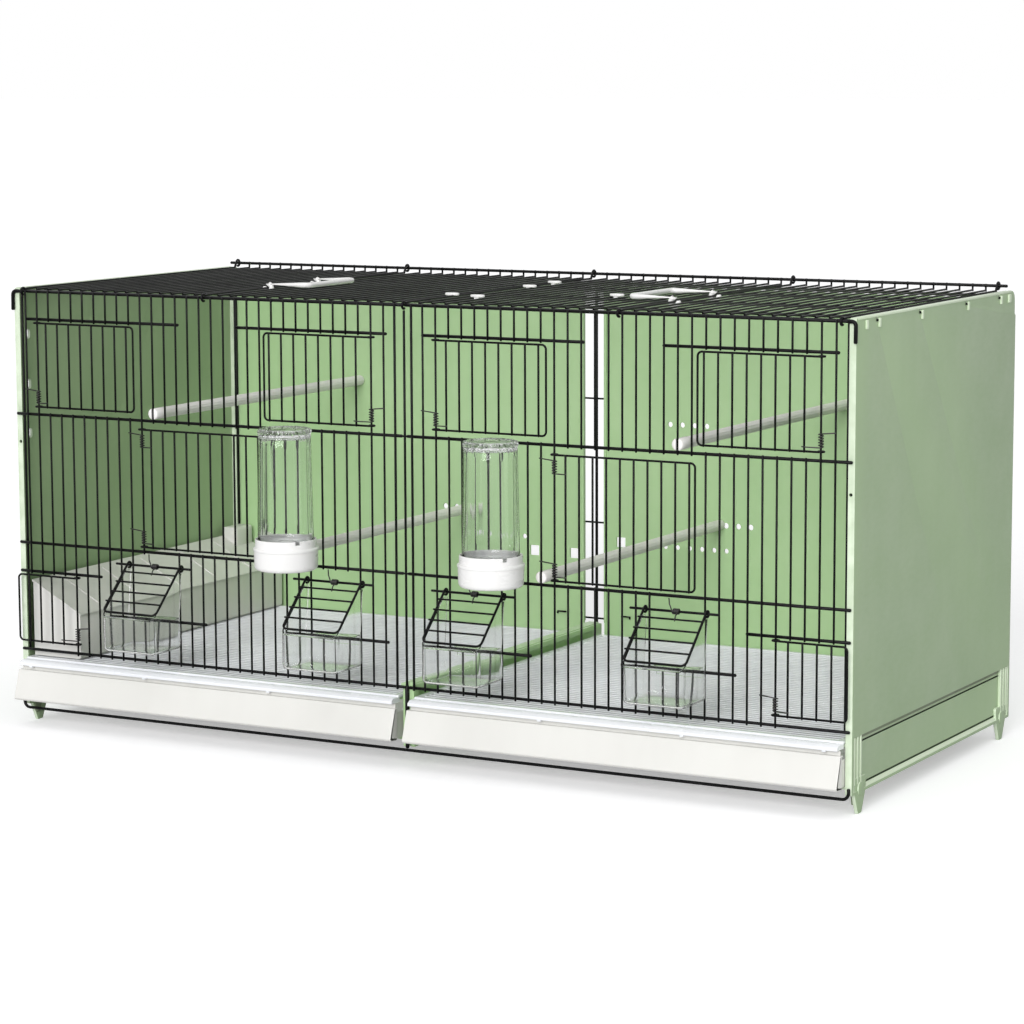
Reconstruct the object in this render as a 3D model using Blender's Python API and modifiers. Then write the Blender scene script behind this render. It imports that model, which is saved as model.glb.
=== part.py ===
"""A two-compartment breeding cage for small birds.

Wire front and top grilles hang on moulded side and back panels. Sprung wire doors, seed
feeders under sprung flaps, gravity drinkers, perches, two floor grids and two dirt drawers
complete it. Units are metres and +Z is up. Sizes are given in the cage's own frame: x = 0 in
the middle, y = 0 in the plane of the front bars and z = 0 on the floor.
"""

import math

import bmesh
import bpy
from mathutils import Matrix

# Clearances
GAP = 0.0003  # between pieces that touch
WELD = 0.0003  # depth to which crossing wires are pressed together
OVERSHOOT = 0.0022  # a bar's end past the wire that it is welded to
LEAST_STUB = 0.0066  # a bar's shortest stretch beside an opening

# Wires, as radii
BAR_R = 0.001
RAIL_R = 0.0015
FRAME_R = 0.0015
ROD_R = 0.0012
HOOK_R = 0.00125
POST_R = 0.002
SPRING_R = 0.00045
HANDLE_R = 0.00225

# Drawers and floor grids, from which the heights above them follow
DRAWER_BOTTOM_Z = 0.027
DRAWER_HEIGHT = 0.025
DRAWER_WALL = 0.002
DRAWER_BACK_PLAY = 0.005
FASCIA_TOP_Y = -0.010
FASCIA_BOTTOM_Y = -0.019
FASCIA_INNER_Y = -0.007
FASCIA_LIFT = 0.002
FASCIA_BELOW_LEDGE = 0.0015
GRID_ABOVE_DRAWER = 0.016
GRID_RIM = 0.006
GRID_RIM_THICKNESS = 0.003
GRID_FRONT_Y = -0.012
GRID_LEDGE_THICKNESS = 0.008
GRID_LEDGE_DROP = 0.0015
GRID_BACK_PLAY = 0.003
GRID_LONG_WIRES = 7
GRID_CROSS_WIRES = 1
GRID_WIRE_R = 0.0011

# Front grilles
BAR_COUNT = 31
BAR_PITCH = 0.0137
END_GAP = 0.01197
CENTRE_GAP = 0.01795
RAIL_END = 0.005
FLOOR_RAIL_ABOVE_GRID = 0.0079
FEEDER_RAIL_RISE = 0.0411
CORNER_RAIL_RISE = 0.0791
MIDDLE_RAIL_RISE = 0.1077
UPPER_RAIL_RISE = 0.2364
GRILLE_HEIGHT = 0.3578
DOOR_RAIL_DROP = 0.0272
FLAP_ROD_DROP = 0.0131
TIE_DROP = 0.0029

# Doors: bar numbers count from the left of each grille
EYE_R = 0.0029
EYE_SWEEP = 270
EYE_STEPS = 6
DOOR_CORNER = 0.004
UPPER_DOOR_ABOVE_RAIL = 0.0082
UPPER_DOOR_BELOW_RAIL = 0.0035
UPPER_DOOR_BARS = 8
UPPER_DOOR_PAST_BARS = 0.5
MIDDLE_DOOR_ABOVE_RAIL = 0.0054
MIDDLE_DOOR_BELOW_RAIL = 0.0083
MIDDLE_DOOR_BARS = 10
MIDDLE_DOOR_PAST_BARS = 0.35
MIDDLE_HINGE_BAR = 11
CORNER_DOOR_ABOVE_RAIL = 0.0061
CORNER_DOOR_BELOW_RAIL = 0.003
CORNER_DOOR_BARS = 4
CORNER_DOOR_PAST_FRAME = 0.0045
LEFT_CORNER_HINGE_BAR = CORNER_DOOR_BARS + 1
RIGHT_CORNER_HINGE_BAR = BAR_COUNT - CORNER_DOOR_BARS
LEFT_UPPER_HINGE_BAR = 2
RIGHT_UPPER_HINGE_BAR = BAR_COUNT - 1
CORNER_RAIL_BARS_PAST_HINGE = 2
UPPER_RAIL_REACH = (-1, 12)
RIGHT_RAIL_REACH = (-1, 11)

# Springs
SPRING_COIL_R = 0.00205
SPRING_PITCH = 0.0024
SPRING_TURNS = 2
SPRING_POINTS = 8
SPRING_FROM_DOOR_END = 0.003
FLAP_SPRING_COIL_R = 0.00225
FLAP_SPRING_LENGTH = 0.006
FLAP_SPRING_STEPS = 8

# Feeder openings, flaps and feeders
LEFT_FEEDER_BARS = (12, BAR_COUNT - 4)
RIGHT_FEEDER_BARS = (5, 20)
FEEDER_CUT_BARS = 3
FEEDER_RAIL_BARS = 4
ROD_REACH = (-3.38, 3.1)
FLAP_HALF = 0.0306
FLAP_REACH = 0.0431
FLAP_FALL = 0.0415
FLAP_EYE_R = 0.0027
FLAP_RUNGS = 4
FLAP_CORNER = 0.005
FEEDER_HALF = 0.0305
FEEDER_WALL = 0.0015
FEEDER_FRONT_Y = -0.050
FEEDER_FRONT_RISE = 0.010
FEEDER_DEPTH = 0.025
FEEDER_CHEEK_END = 0.008
FEEDER_HOOK_HALF = 0.022
FEEDER_HOOK_DROP = 0.008

# Drinkers
DRINKER_BARS = 6
BOTTLE_R = 0.0265
BOTTLE_TAPER = 0.0015
BOTTLE_HEIGHT = 0.1116
BOTTLE_WALL = 0.0015
BOTTLE_DOME = 0.006
NECK_R = 0.020
NECK_LENGTH = 0.016
CUP_WALL = 0.0016
CUP_HEIGHT = 0.023
CUP_BELOW_RAIL = 0.0006
CUP_SHOULDER = 0.003
COLLAR_PLAY = 0.0019
COLLAR_HEIGHT = 0.008
SPOUT_HALF = 0.0048
SPOUT_REACH = 0.014
SPOUT_DEPTH = 0.010
SPOUT_ROOF_REACH = 0.004
TURN_STEPS = 12

# Perches
PERCH_R = 0.0055
UPPER_PERCH_BAR = 20  # counted from the middle of the cage
LOWER_PERCH_BAR = 10

# Back panels, rear wire and centre rail
BACK_Y = 0.383
BACK_THICKNESS = 0.0025
BACK_BELOW_GRID = 0.010
BACK_BELOW_TOP_RAIL = 0.0047
BACK_HALF_GAP = 0.0116
CHANNEL_RIB = 0.0025
CHANNEL_DEPTH = 0.007
REAR_WIRE_R = 0.0015
REAR_WIRE_BELOW_RAIL = 0.0017
REAR_TICK_R = 0.001
REAR_TICK_LAP = 0.0044
REAR_TICK_LIFT = 0.004
CENTRE_RAIL_HALF = 0.008
CENTRE_RAIL_ABOVE_GRID = 0.011
CENTRE_WEB_HALF = 0.0025
RISER_HALF = 0.006
RISER_DEPTH = 0.010

# Side panels
PANEL_PAST_FRAME = 0.0061
PANEL_PAST_BACK = 0.015
PANEL_WIDTH = 0.009
PANEL_SKIN = 0.003
PANEL_LIP = 0.0025
PANEL_BOTTOM_Z = 0.019
STEP_ABOVE_GRID = 0.002
STEP_DEPTH = 0.003
STEP_EDGE = 0.004
RIB_COUNT = 3
RIB_WIDTH = 0.003
RIB_PITCH = 0.007
RIB_START = 0.006
RIB_ABOVE_BOTTOM = 0.014
FOOT_TOP_WIDTH = 0.029
FOOT_SOLE = 0.008
FOOT_TAPER = 0.002
FOOT_INSET = 0.006
PRONG_DEPTH = 0.006
PRONG_WIDTH = 0.014
PRONG_Z = 0.008
LEDGE_THICKNESS = 0.0025
LEDGE_REACH = 0.009

# Box on the left compartment's floor
BOX_WIDTH = 0.057
BOX_FRONT_Y = 0.010
BOX_BACK_PLAY = 0.005
BOX_WALL = 0.002
BOX_LOW_HEIGHT = 0.045
BOX_HIGH_HEIGHT = 0.075
BOX_LID_OVERHANG = 0.002
BOX_BLOCK_DEPTH = 0.030
BOX_BLOCK_HEIGHT = 0.012

# Top grille and handles
TOP_WIRES_BETWEEN = 6
TOP_FRONT_RAIL_Y = 0.0085
TOP_MIDDLE_RAIL_Y = 0.150
TOP_RAIL_OVERHANG = 0.003
END_HOOK_INSET = 0.005
HOOK_RING_R = 0.0032
HOOK_RING_SWEEP = (40, 300)
HOOK_RING_STEPS = 7
HANDLE_EYE_R = 0.0039
HANDLE_EYE_SWEEP = 290
HANDLE_EYE_STEPS = 7
HANDLE_REACH = 0.046
HANDLE_Y = (0.115, 0.202)
HANDLE_CORNER = 0.007

# Places that follow, across the cage
GRILLE_LENGTH = 2 * END_GAP + (BAR_COUNT - 1) * BAR_PITCH
FRAME_X = CENTRE_GAP / 2 + GRILLE_LENGTH
OUTER_X = FRAME_X + PANEL_PAST_FRAME
PANEL_INNER_X = OUTER_X - PANEL_WIDTH
SKIN_X = OUTER_X - PANEL_SKIN
LOWER_SKIN_X = OUTER_X - STEP_DEPTH - PANEL_SKIN
DRINKER_X = CENTRE_GAP / 2 + END_GAP + (DRINKER_BARS + 0.5) * BAR_PITCH
TOP_HOOK_X = (0.0, FRAME_X / 2, PANEL_INNER_X - END_HOOK_INSET)

# Places that follow, upwards
DRAWER_TOP_Z = DRAWER_BOTTOM_Z + DRAWER_HEIGHT
GRID_TOP_Z = DRAWER_TOP_Z + GRID_ABOVE_DRAWER
GRID_LEDGE_TOP_Z = GRID_TOP_Z - GRID_LEDGE_DROP
GRID_LEDGE_BOTTOM_Z = GRID_LEDGE_TOP_Z - GRID_LEDGE_THICKNESS
STEP_Z = GRID_TOP_Z + STEP_ABOVE_GRID
CENTRE_RAIL_TOP_Z = GRID_TOP_Z + CENTRE_RAIL_ABOVE_GRID
BACK_BOTTOM_Z = GRID_TOP_Z - BACK_BELOW_GRID
FLOOR_RAIL_Z = GRID_TOP_Z + FLOOR_RAIL_ABOVE_GRID
FEEDER_RAIL_Z = FLOOR_RAIL_Z + FEEDER_RAIL_RISE
CORNER_RAIL_Z = FLOOR_RAIL_Z + CORNER_RAIL_RISE
MIDDLE_RAIL_Z = FLOOR_RAIL_Z + MIDDLE_RAIL_RISE
UPPER_RAIL_Z = FLOOR_RAIL_Z + UPPER_RAIL_RISE
TOP_RAIL_Z = FLOOR_RAIL_Z + GRILLE_HEIGHT
DOOR_RAIL_Z = TOP_RAIL_Z - DOOR_RAIL_DROP
FLAP_ROD_Z = MIDDLE_RAIL_Z - FLAP_ROD_DROP
TIE_Z = PANEL_BOTTOM_Z - TIE_DROP
RIB_BOTTOM_Z = PANEL_BOTTOM_Z + RIB_ABOVE_BOTTOM
UPPER_DOOR_Z = (UPPER_RAIL_Z + UPPER_DOOR_ABOVE_RAIL, DOOR_RAIL_Z - UPPER_DOOR_BELOW_RAIL)
MIDDLE_DOOR_Z = (MIDDLE_RAIL_Z + MIDDLE_DOOR_ABOVE_RAIL, UPPER_RAIL_Z - MIDDLE_DOOR_BELOW_RAIL)
CORNER_DOOR_Z = (FLOOR_RAIL_Z + CORNER_DOOR_ABOVE_RAIL, CORNER_RAIL_Z - CORNER_DOOR_BELOW_RAIL)
FEEDER_BOTTOM_Z = FEEDER_RAIL_Z - FEEDER_DEPTH
CUP_BOTTOM_Z = MIDDLE_RAIL_Z - CUP_BELOW_RAIL
CUP_TOP_Z = CUP_BOTTOM_Z + CUP_HEIGHT
BACK_TOP_Z = TOP_RAIL_Z - BACK_BELOW_TOP_RAIL
REAR_TICK_Z = (CENTRE_RAIL_TOP_Z + REAR_TICK_LIFT, MIDDLE_RAIL_Z, UPPER_RAIL_Z)
REAR_WIRE_TOP_Z = TOP_RAIL_Z - REAR_WIRE_BELOW_RAIL
TOP_WIRE_Z = TOP_RAIL_Z + RAIL_R + BAR_R - WELD
HOOK_WIRE_Z = TOP_RAIL_Z + RAIL_R + HOOK_R - WELD
PANEL_TOP_Z = TOP_RAIL_Z - RAIL_R - GAP

# Places that follow, from front to back
RAIL_Y = BAR_R + RAIL_R - WELD
ROD_Y = -(BAR_R + ROD_R - WELD)
LIP_Y = RAIL_Y + RAIL_R + GAP
DOOR_LOOP_Y = -EYE_R
DOOR_BAR_Y = DOOR_LOOP_Y - 2 * BAR_R + WELD
COLLAR_R = BOTTLE_R + COLLAR_PLAY + CUP_WALL
CUP_R = COLLAR_R + CUP_SHOULDER
CUP_Y = -(CUP_R + BAR_R + 2 * GAP)
PANEL_BACK_Y = BACK_Y + PANEL_PAST_BACK
TOP_RAIL_Y = (TOP_FRONT_RAIL_Y, TOP_MIDDLE_RAIL_Y, BACK_Y)
MIDDLE_Y = (CUP_Y - CUP_R + PANEL_BACK_Y) / 2

COLOURS = {
    "green_plastic": ((0.42, 0.56, 0.33, 1), 0.45, 0.0),
    "black_wire": ((0.015, 0.015, 0.015, 1), 0.4, 0.3),
    "spring_steel": ((0.03, 0.03, 0.03, 1), 0.35, 0.8),
    "white_plastic": ((0.85, 0.85, 0.83, 1), 0.4, 0.0),
    "grey_plastic": ((0.62, 0.63, 0.65, 1), 0.5, 0.0),
    "clear_plastic": ((0.85, 0.88, 0.86, 1), 0.08, 0.0),
}

MATERIALS = {}


def clear_scene():
    for old in list(bpy.data.objects):
        bpy.data.objects.remove(old, do_unlink=True)


def new_collection(name):
    collection = bpy.data.collections.new(name)
    bpy.context.scene.collection.children.link(collection)
    return collection


def material(name):
    if name not in MATERIALS:
        colour, roughness, metallic = COLOURS[name]
        made = bpy.data.materials.new(name)
        made.use_nodes = True
        shader = made.node_tree.nodes["Principled BSDF"]
        shader.inputs["Base Color"].default_value = colour
        shader.inputs["Roughness"].default_value = roughness
        shader.inputs["Metallic"].default_value = metallic
        MATERIALS[name] = made
    return MATERIALS[name]


def working_object(name, data):
    obj = bpy.data.objects.new(name, data)
    WORKSHOP.objects.link(obj)
    return obj


def baked(obj):
    """The object's evaluated shape as a plain mesh object, with loose caps welded on."""
    bpy.context.view_layer.update()
    graph = bpy.context.evaluated_depsgraph_get()
    mesh = bpy.data.meshes.new_from_object(obj.evaluated_get(graph))
    mesh.transform(obj.matrix_world)
    name = obj.name
    bpy.data.objects.remove(obj, do_unlink=True)
    welded = bmesh.new()
    welded.from_mesh(mesh)
    bmesh.ops.remove_doubles(welded, verts=welded.verts, dist=1e-7)
    welded.to_mesh(mesh)
    welded.free()
    return working_object(name, mesh)


def boolean(base, operation, *tools):
    """The base with each tool joined to it or cut from it, the tools used up."""
    for tool in tools:
        step = base.modifiers.new(operation.lower(), "BOOLEAN")
        step.operation = operation
        step.object = tool
    result = baked(base)
    for tool in tools:
        bpy.data.objects.remove(tool, do_unlink=True)
    return result


def box(low, high):
    """A box between two corners."""
    made = bmesh.new()
    bmesh.ops.create_cube(made, size=1)
    for vert in made.verts:
        for axis in range(3):
            half = high[axis] - low[axis]
            vert.co[axis] = (low[axis] + high[axis]) / 2 + vert.co[axis] * half
    mesh = bpy.data.meshes.new("box")
    made.to_mesh(mesh)
    made.free()
    return working_object("box", mesh)


def side_slab(outline, low_x, high_x):
    """A flat (y, z) outline given thickness along X."""
    curve = bpy.data.curves.new("slab", "CURVE")
    curve.dimensions = "2D"
    curve.fill_mode = "BOTH"
    curve.extrude = (high_x - low_x) / 2
    spline = curve.splines.new("POLY")
    spline.points.add(len(outline) - 1)
    for point, (y, z) in zip(spline.points, outline):
        point.co = (y, z, 0, 1)
    spline.use_cyclic_u = True
    obj = working_object("slab", curve)
    turn = Matrix(((0, 0, 1, 0), (1, 0, 0, 0), (0, 1, 0, 0), (0, 0, 0, 1)))
    obj.matrix_world = Matrix.Translation(((low_x + high_x) / 2, 0, 0)) @ turn
    return baked(obj)


def front_slab(outline, low_y, high_y):
    """A flat (x, z) outline given thickness along Y."""
    slab = side_slab(outline, low_y, high_y)
    slab.data.transform(Matrix(((0, 1, 0, 0), (1, 0, 0, 0), (0, 0, 1, 0), (0, 0, 0, 1))))
    slab.data.flip_normals()
    return slab


def wires(runs, sides=4):
    """Round wires, each a (radius, points) run with flat ends, in one object."""
    unit = 0.001
    curve = bpy.data.curves.new("wires", "CURVE")
    curve.dimensions = "3D"
    curve.bevel_depth = unit
    curve.bevel_resolution = (sides - 4) // 2
    curve.use_fill_caps = True
    curve.twist_mode = "Z_UP"
    for radius, points in runs:
        spline = curve.splines.new("POLY")
        spline.points.add(len(points) - 1)
        for point, place in zip(spline.points, points):
            point.co = (*place, 1)
            point.radius = radius / unit
    return baked(working_object("wires", curve))


def turned(profile, steps=TURN_STEPS):
    """A solid of revolution about Z; the (radius, z) profile runs down its outer side."""
    mesh = bpy.data.meshes.new("turned")
    edges = [(i, i + 1) for i in range(len(profile) - 1)]
    if profile[0][0] > 0:
        edges.append((len(profile) - 1, 0))
    mesh.from_pydata([(radius, 0, z) for radius, z in profile], edges, [])
    obj = working_object("turned", mesh)
    screw = obj.modifiers.new("turn", "SCREW")
    screw.steps = steps
    screw.render_steps = steps
    screw.use_merge_vertices = True
    screw.merge_threshold = 0.0001
    return baked(obj)


def arc(centre, radius, start, end, steps):
    """Points (u, v) along an arc between two angles in degrees."""
    points = []
    for i in range(steps + 1):
        angle = math.radians(start + (end - start) * i / steps)
        points.append((centre[0] + radius * math.cos(angle), centre[1] + radius * math.sin(angle)))
    return points


def piece(obj, name, colour, location=(0, 0, 0), smooth=False):
    """The finished sub-part: named, coloured and placed in the cage's frame."""
    obj.name = name
    obj.data.name = name
    obj.data.materials.clear()
    obj.data.materials.append(material(colour))
    if smooth:
        obj.data.shade_smooth()
        obj.data.set_sharp_from_angle(angle=math.radians(35))
    WORKSHOP.objects.unlink(obj)
    CAGE.objects.link(obj)
    obj.parent = FRAME
    obj.location = location
    return obj


def bar_x(side, number):
    """Where bar number stands; side is -1 for the left grille and 1 for the right one."""
    start = CENTRE_GAP / 2 if side > 0 else -FRAME_X
    return start + END_GAP + (number - 1) * BAR_PITCH


def standing_stretches(bar, cuts):
    """The (bottom, top) stretches of one bar that the openings leave."""
    bottom = FLOOR_RAIL_Z - OVERSHOOT
    stretches = []
    for first, last, low, high in sorted(cuts, key=lambda cut: cut[2]):
        if first <= bar <= last:
            stretches.append((bottom, low + OVERSHOOT))
            bottom = high - OVERSHOOT
    stretches.append((bottom, TOP_RAIL_Z + RAIL_R))
    return [(low, high) for low, high in stretches if high - low > LEAST_STUB]


def feeder_bars(side):
    return LEFT_FEEDER_BARS if side < 0 else RIGHT_FEEDER_BARS


def upper_rail_reach(side):
    """The first and last bars that the short rails above the two upper doors join."""
    reach = UPPER_RAIL_REACH if side < 0 else RIGHT_RAIL_REACH
    first = (LEFT_UPPER_HINGE_BAR + reach[0], LEFT_UPPER_HINGE_BAR + reach[1])
    second = (BAR_COUNT - UPPER_RAIL_REACH[1], BAR_COUNT)
    return first, second


def grille_cuts(side):
    """The openings, as (first bar, last bar, bottom, top)."""
    left = LEFT_UPPER_HINGE_BAR
    right = RIGHT_UPPER_HINGE_BAR
    middle = MIDDLE_HINGE_BAR
    half = FEEDER_CUT_BARS // 2
    cuts = [
        (left + 1, left + UPPER_DOOR_BARS, UPPER_RAIL_Z, DOOR_RAIL_Z),
        (right - UPPER_DOOR_BARS, right - 1, UPPER_RAIL_Z, DOOR_RAIL_Z),
        (middle + 1, middle + MIDDLE_DOOR_BARS, MIDDLE_RAIL_Z, UPPER_RAIL_Z),
    ]
    for bar in feeder_bars(side):
        cuts.append((bar - half, bar + half, FEEDER_RAIL_Z, MIDDLE_RAIL_Z))
    if side < 0:
        cuts.append((1, LEFT_CORNER_HINGE_BAR - 1, FLOOR_RAIL_Z, CORNER_RAIL_Z))
    else:
        cuts.append((RIGHT_CORNER_HINGE_BAR + 1, BAR_COUNT, FLOOR_RAIL_Z, CORNER_RAIL_Z))
    return cuts


def front_grille(side):
    inner = side * CENTRE_GAP / 2
    outer = side * FRAME_X
    past_outer = outer + side * RAIL_END
    beside_post = side * (POST_R + GAP)
    meeting = side * GAP
    uprights = []
    for x in (inner, outer):
        ends = ((x, 0, FLOOR_RAIL_Z - OVERSHOOT), (x, 0, TOP_RAIL_Z + RAIL_R))
        uprights.append((FRAME_R, ends))
    cuts = grille_cuts(side)
    for bar in range(1, BAR_COUNT + 1):
        x = bar_x(side, bar)
        for low, high in standing_stretches(bar, cuts):
            uprights.append((BAR_R, ((x, 0, low), (x, 0, high))))
    rails = [(RAIL_R, ((meeting, RAIL_Y, TOP_RAIL_Z), (past_outer, RAIL_Y, TOP_RAIL_Z)))]
    for z in (FLOOR_RAIL_Z, MIDDLE_RAIL_Z, UPPER_RAIL_Z):
        rails.append((RAIL_R, ((beside_post, RAIL_Y, z), (past_outer, RAIL_Y, z))))
    for first, last in upper_rail_reach(side):
        low = bar_x(side, first) - OVERSHOOT
        high = bar_x(side, last) + OVERSHOOT
        rails.append((RAIL_R, ((low, RAIL_Y, DOOR_RAIL_Z), (high, RAIL_Y, DOOR_RAIL_Z))))
    hinge = LEFT_CORNER_HINGE_BAR if side < 0 else RIGHT_CORNER_HINGE_BAR
    corner_end = bar_x(side, hinge - side * CORNER_RAIL_BARS_PAST_HINGE) - side * OVERSHOOT
    ends = ((corner_end, RAIL_Y, CORNER_RAIL_Z), (past_outer, RAIL_Y, CORNER_RAIL_Z))
    rails.append((RAIL_R, ends))
    for bar in feeder_bars(side):
        low = bar_x(side, bar - FEEDER_RAIL_BARS) - OVERSHOOT
        high = bar_x(side, bar + FEEDER_RAIL_BARS) + OVERSHOOT
        rails.append((RAIL_R, ((low, RAIL_Y, FEEDER_RAIL_Z), (high, RAIL_Y, FEEDER_RAIL_Z))))
        low = bar_x(side, bar + ROD_REACH[0])
        high = bar_x(side, bar + ROD_REACH[1])
        rails.append((ROD_R, ((low, ROD_Y, FLAP_ROD_Z), (high, ROD_Y, FLAP_ROD_Z))))
    grille = boolean(wires(uprights), "UNION", wires(rails))
    name = "front_grille_left" if side < 0 else "front_grille_right"
    piece(grille, name, "black_wire")


def door(name, side, hinge_bar, turn, z_range, bars, reach):
    """A wire door that turns about a bar; turn is 1 where it extends to the right of it.

    One wire runs from an eye round the hinge bar, along the bottom, up the free side and
    back to a second eye. The door's own bars are welded to its front.
    """
    height = z_range[1] - z_range[0]
    eye = arc((0, 0), EYE_R, -90 - EYE_SWEEP, -90, EYE_STEPS)
    lower = [(turn * x, y, 0) for x, y in eye]
    corner_x = reach - DOOR_CORNER
    lower_corner = arc((corner_x, DOOR_CORNER), DOOR_CORNER, -90, 0, 2)
    lower += [(turn * x, DOOR_LOOP_Y, z) for x, z in lower_corner]
    upper_corner = arc((corner_x, height - DOOR_CORNER), DOOR_CORNER, 0, 90, 2)
    upper = [(turn * x, DOOR_LOOP_Y, z) for x, z in upper_corner]
    upper += [(turn * x, y, height) for x, y in reversed(eye)]
    loop = wires([(BAR_R, lower + upper)])
    own = []
    for bar in range(1, bars + 1):
        x = turn * bar * BAR_PITCH
        own.append((BAR_R, ((x, DOOR_BAR_Y, -OVERSHOOT), (x, DOOR_BAR_Y, height + OVERSHOOT))))
    made = boolean(wires(own), "UNION", loop)
    piece(made, name, "black_wire", (bar_x(side, hinge_bar), 0, z_range[0]))


def door_spring(name, side, hinge_bar, turn, z):
    """A spring wound round the hinge bar, one arm before the next bar, one on the door."""
    points = [(-BAR_PITCH - BAR_R, -SPRING_COIL_R, 0)]
    steps = SPRING_TURNS * SPRING_POINTS
    for i in range(steps + 1):
        angle = math.radians(-90 + 360 * i / SPRING_POINTS)
        x = SPRING_COIL_R * math.cos(angle)
        y = SPRING_COIL_R * math.sin(angle)
        points.append((x, y, SPRING_PITCH * i / SPRING_POINTS))
    top = SPRING_PITCH * SPRING_TURNS
    before_bar = DOOR_BAR_Y - BAR_R - GAP - SPRING_R
    slope = (before_bar + SPRING_COIL_R) / (BAR_PITCH - BAR_R)
    arm_x = BAR_PITCH + 2 * BAR_R
    points.append((arm_x, slope * arm_x - SPRING_COIL_R, top + 2 * SPRING_R))
    points = [(turn * x, y, z) for x, y, z in points]
    location = (bar_x(side, hinge_bar), 0, z)
    piece(wires([(SPRING_R, points)], 6), name, "spring_steel", location, True)
    return least_gap(points, SPRING_R)


def least_gap(points, radius):
    """The least distance between the surfaces of stretches that don't adjoin."""
    least = math.inf
    for i, first in enumerate(points):
        for second in points[i + SPRING_POINTS // 2:]:
            least = min(least, math.dist(first, second) - 2 * radius)
    return least


def flap_direction():
    """The angle in degrees below the horizontal at which a closed flap slopes outwards."""
    return math.degrees(math.atan2(FLAP_FALL, FLAP_REACH))


def flap_length():
    return math.hypot(FLAP_REACH, FLAP_FALL)


def on_flap(along, above):
    """The (y, z) point of a closed flap, seen from its rod."""
    slope = math.radians(flap_direction())
    y = -along * math.cos(slope) - above * math.sin(slope)
    z = -along * math.sin(slope) + above * math.cos(slope)
    return y, z


def flap(name, side, bar):
    """A wire flap whose two eyes turn on the rod, with rungs across it."""
    length = flap_length()
    slope = flap_direction()
    eye = arc((0, 0), FLAP_EYE_R, 90 + slope - EYE_SWEEP, 90 + slope, EYE_STEPS)
    left = [(-FLAP_HALF, y, z) for y, z in eye]
    corner_steps = arc((0, 0), FLAP_CORNER, 180, 270, 2)
    for x, along in corner_steps:
        y, z = on_flap(length - FLAP_CORNER - along, FLAP_EYE_R)
        left.append((-FLAP_HALF + FLAP_CORNER + x, y, z))
    right = [(-x, y, z) for x, y, z in reversed(left)]
    loop = wires([(BAR_R, left + right)])
    rungs = []
    for i in range(FLAP_RUNGS):
        y, z = on_flap(length * (i + 1) / (FLAP_RUNGS + 1), FLAP_EYE_R + 2 * BAR_R - WELD)
        end = FLAP_HALF + 2 * BAR_R
        rungs.append((BAR_R, ((-end, y, z), (end, y, z))))
    made = boolean(wires(rungs), "UNION", loop)
    piece(made, name, "black_wire", (bar_x(side, bar), ROD_Y, FLAP_ROD_Z))


def flap_spring(name, side, bar):
    """The envelope of the small coil wound round the rod: a sleeve with a running gap."""
    half = FLAP_SPRING_LENGTH / 2
    outer = FLAP_SPRING_COIL_R + SPRING_R
    inner = FLAP_SPRING_COIL_R - SPRING_R
    profile = [(outer, half), (outer, -half), (inner, -half), (inner, half)]
    sleeve = turned(profile, FLAP_SPRING_STEPS)
    sleeve.data.transform(Matrix.Rotation(math.radians(90), 4, "Y"))
    location = (bar_x(side, bar), ROD_Y, FLAP_ROD_Z)
    piece(sleeve, name, "spring_steel", location, True)


def feeder(name, side, bar):
    """A clear seed box hung on its rail, open at the back above the rail."""
    back = -(BAR_R + GAP)
    inner_back = back - FEEDER_WALL
    under = FLAP_EYE_R - BAR_R - GAP
    top_y, top_z = on_flap(FEEDER_CHEEK_END, under)
    edge_y, edge_z = on_flap(flap_length() - BAR_R, under)
    front_z = min(FEEDER_RAIL_Z + FEEDER_FRONT_RISE, FLAP_ROD_Z + edge_z)
    outline = [
        (back, FEEDER_BOTTOM_Z),
        (back, FLAP_ROD_Z + top_z),
        (ROD_Y + top_y, FLAP_ROD_Z + top_z),
        (ROD_Y + edge_y, FLAP_ROD_Z + edge_z),
        (FEEDER_FRONT_Y, front_z),
        (FEEDER_FRONT_Y, FEEDER_BOTTOM_Z + FEEDER_WALL),
        (FEEDER_FRONT_Y + 2 * FEEDER_WALL, FEEDER_BOTTOM_Z),
    ]
    outer = side_slab(outline, -FEEDER_HALF, FEEDER_HALF)
    lip_z = FEEDER_RAIL_Z + OVERSHOOT + GAP
    half = FEEDER_HALF - FEEDER_WALL
    floor_z = FEEDER_BOTTOM_Z + FEEDER_WALL
    front = FEEDER_FRONT_Y + FEEDER_WALL
    hollow = box((-half, front, floor_z), (half, inner_back, FLAP_ROD_Z))
    doorway = box((-half, inner_back - GAP, lip_z), (half, back + GAP, FLAP_ROD_Z))
    shell = boolean(outer, "DIFFERENCE", hollow, doorway)
    hook_back = RAIL_Y + RAIL_R + GAP
    overlap = FEEDER_WALL / 4
    hook = side_slab(
        [
            (inner_back + overlap, lip_z - FEEDER_WALL),
            (back - overlap, lip_z - FEEDER_WALL),
            (back - overlap, lip_z + GAP),
            (hook_back, lip_z + GAP),
            (hook_back, lip_z - FEEDER_HOOK_DROP),
            (hook_back + FEEDER_WALL, lip_z - FEEDER_HOOK_DROP),
            (hook_back + FEEDER_WALL, lip_z + FEEDER_WALL),
            (inner_back + overlap, lip_z + FEEDER_WALL),
        ],
        -FEEDER_HOOK_HALF,
        FEEDER_HOOK_HALF,
    )
    made = boolean(shell, "UNION", hook)
    piece(made, name, "clear_plastic", (bar_x(side, bar), 0, 0))


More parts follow.
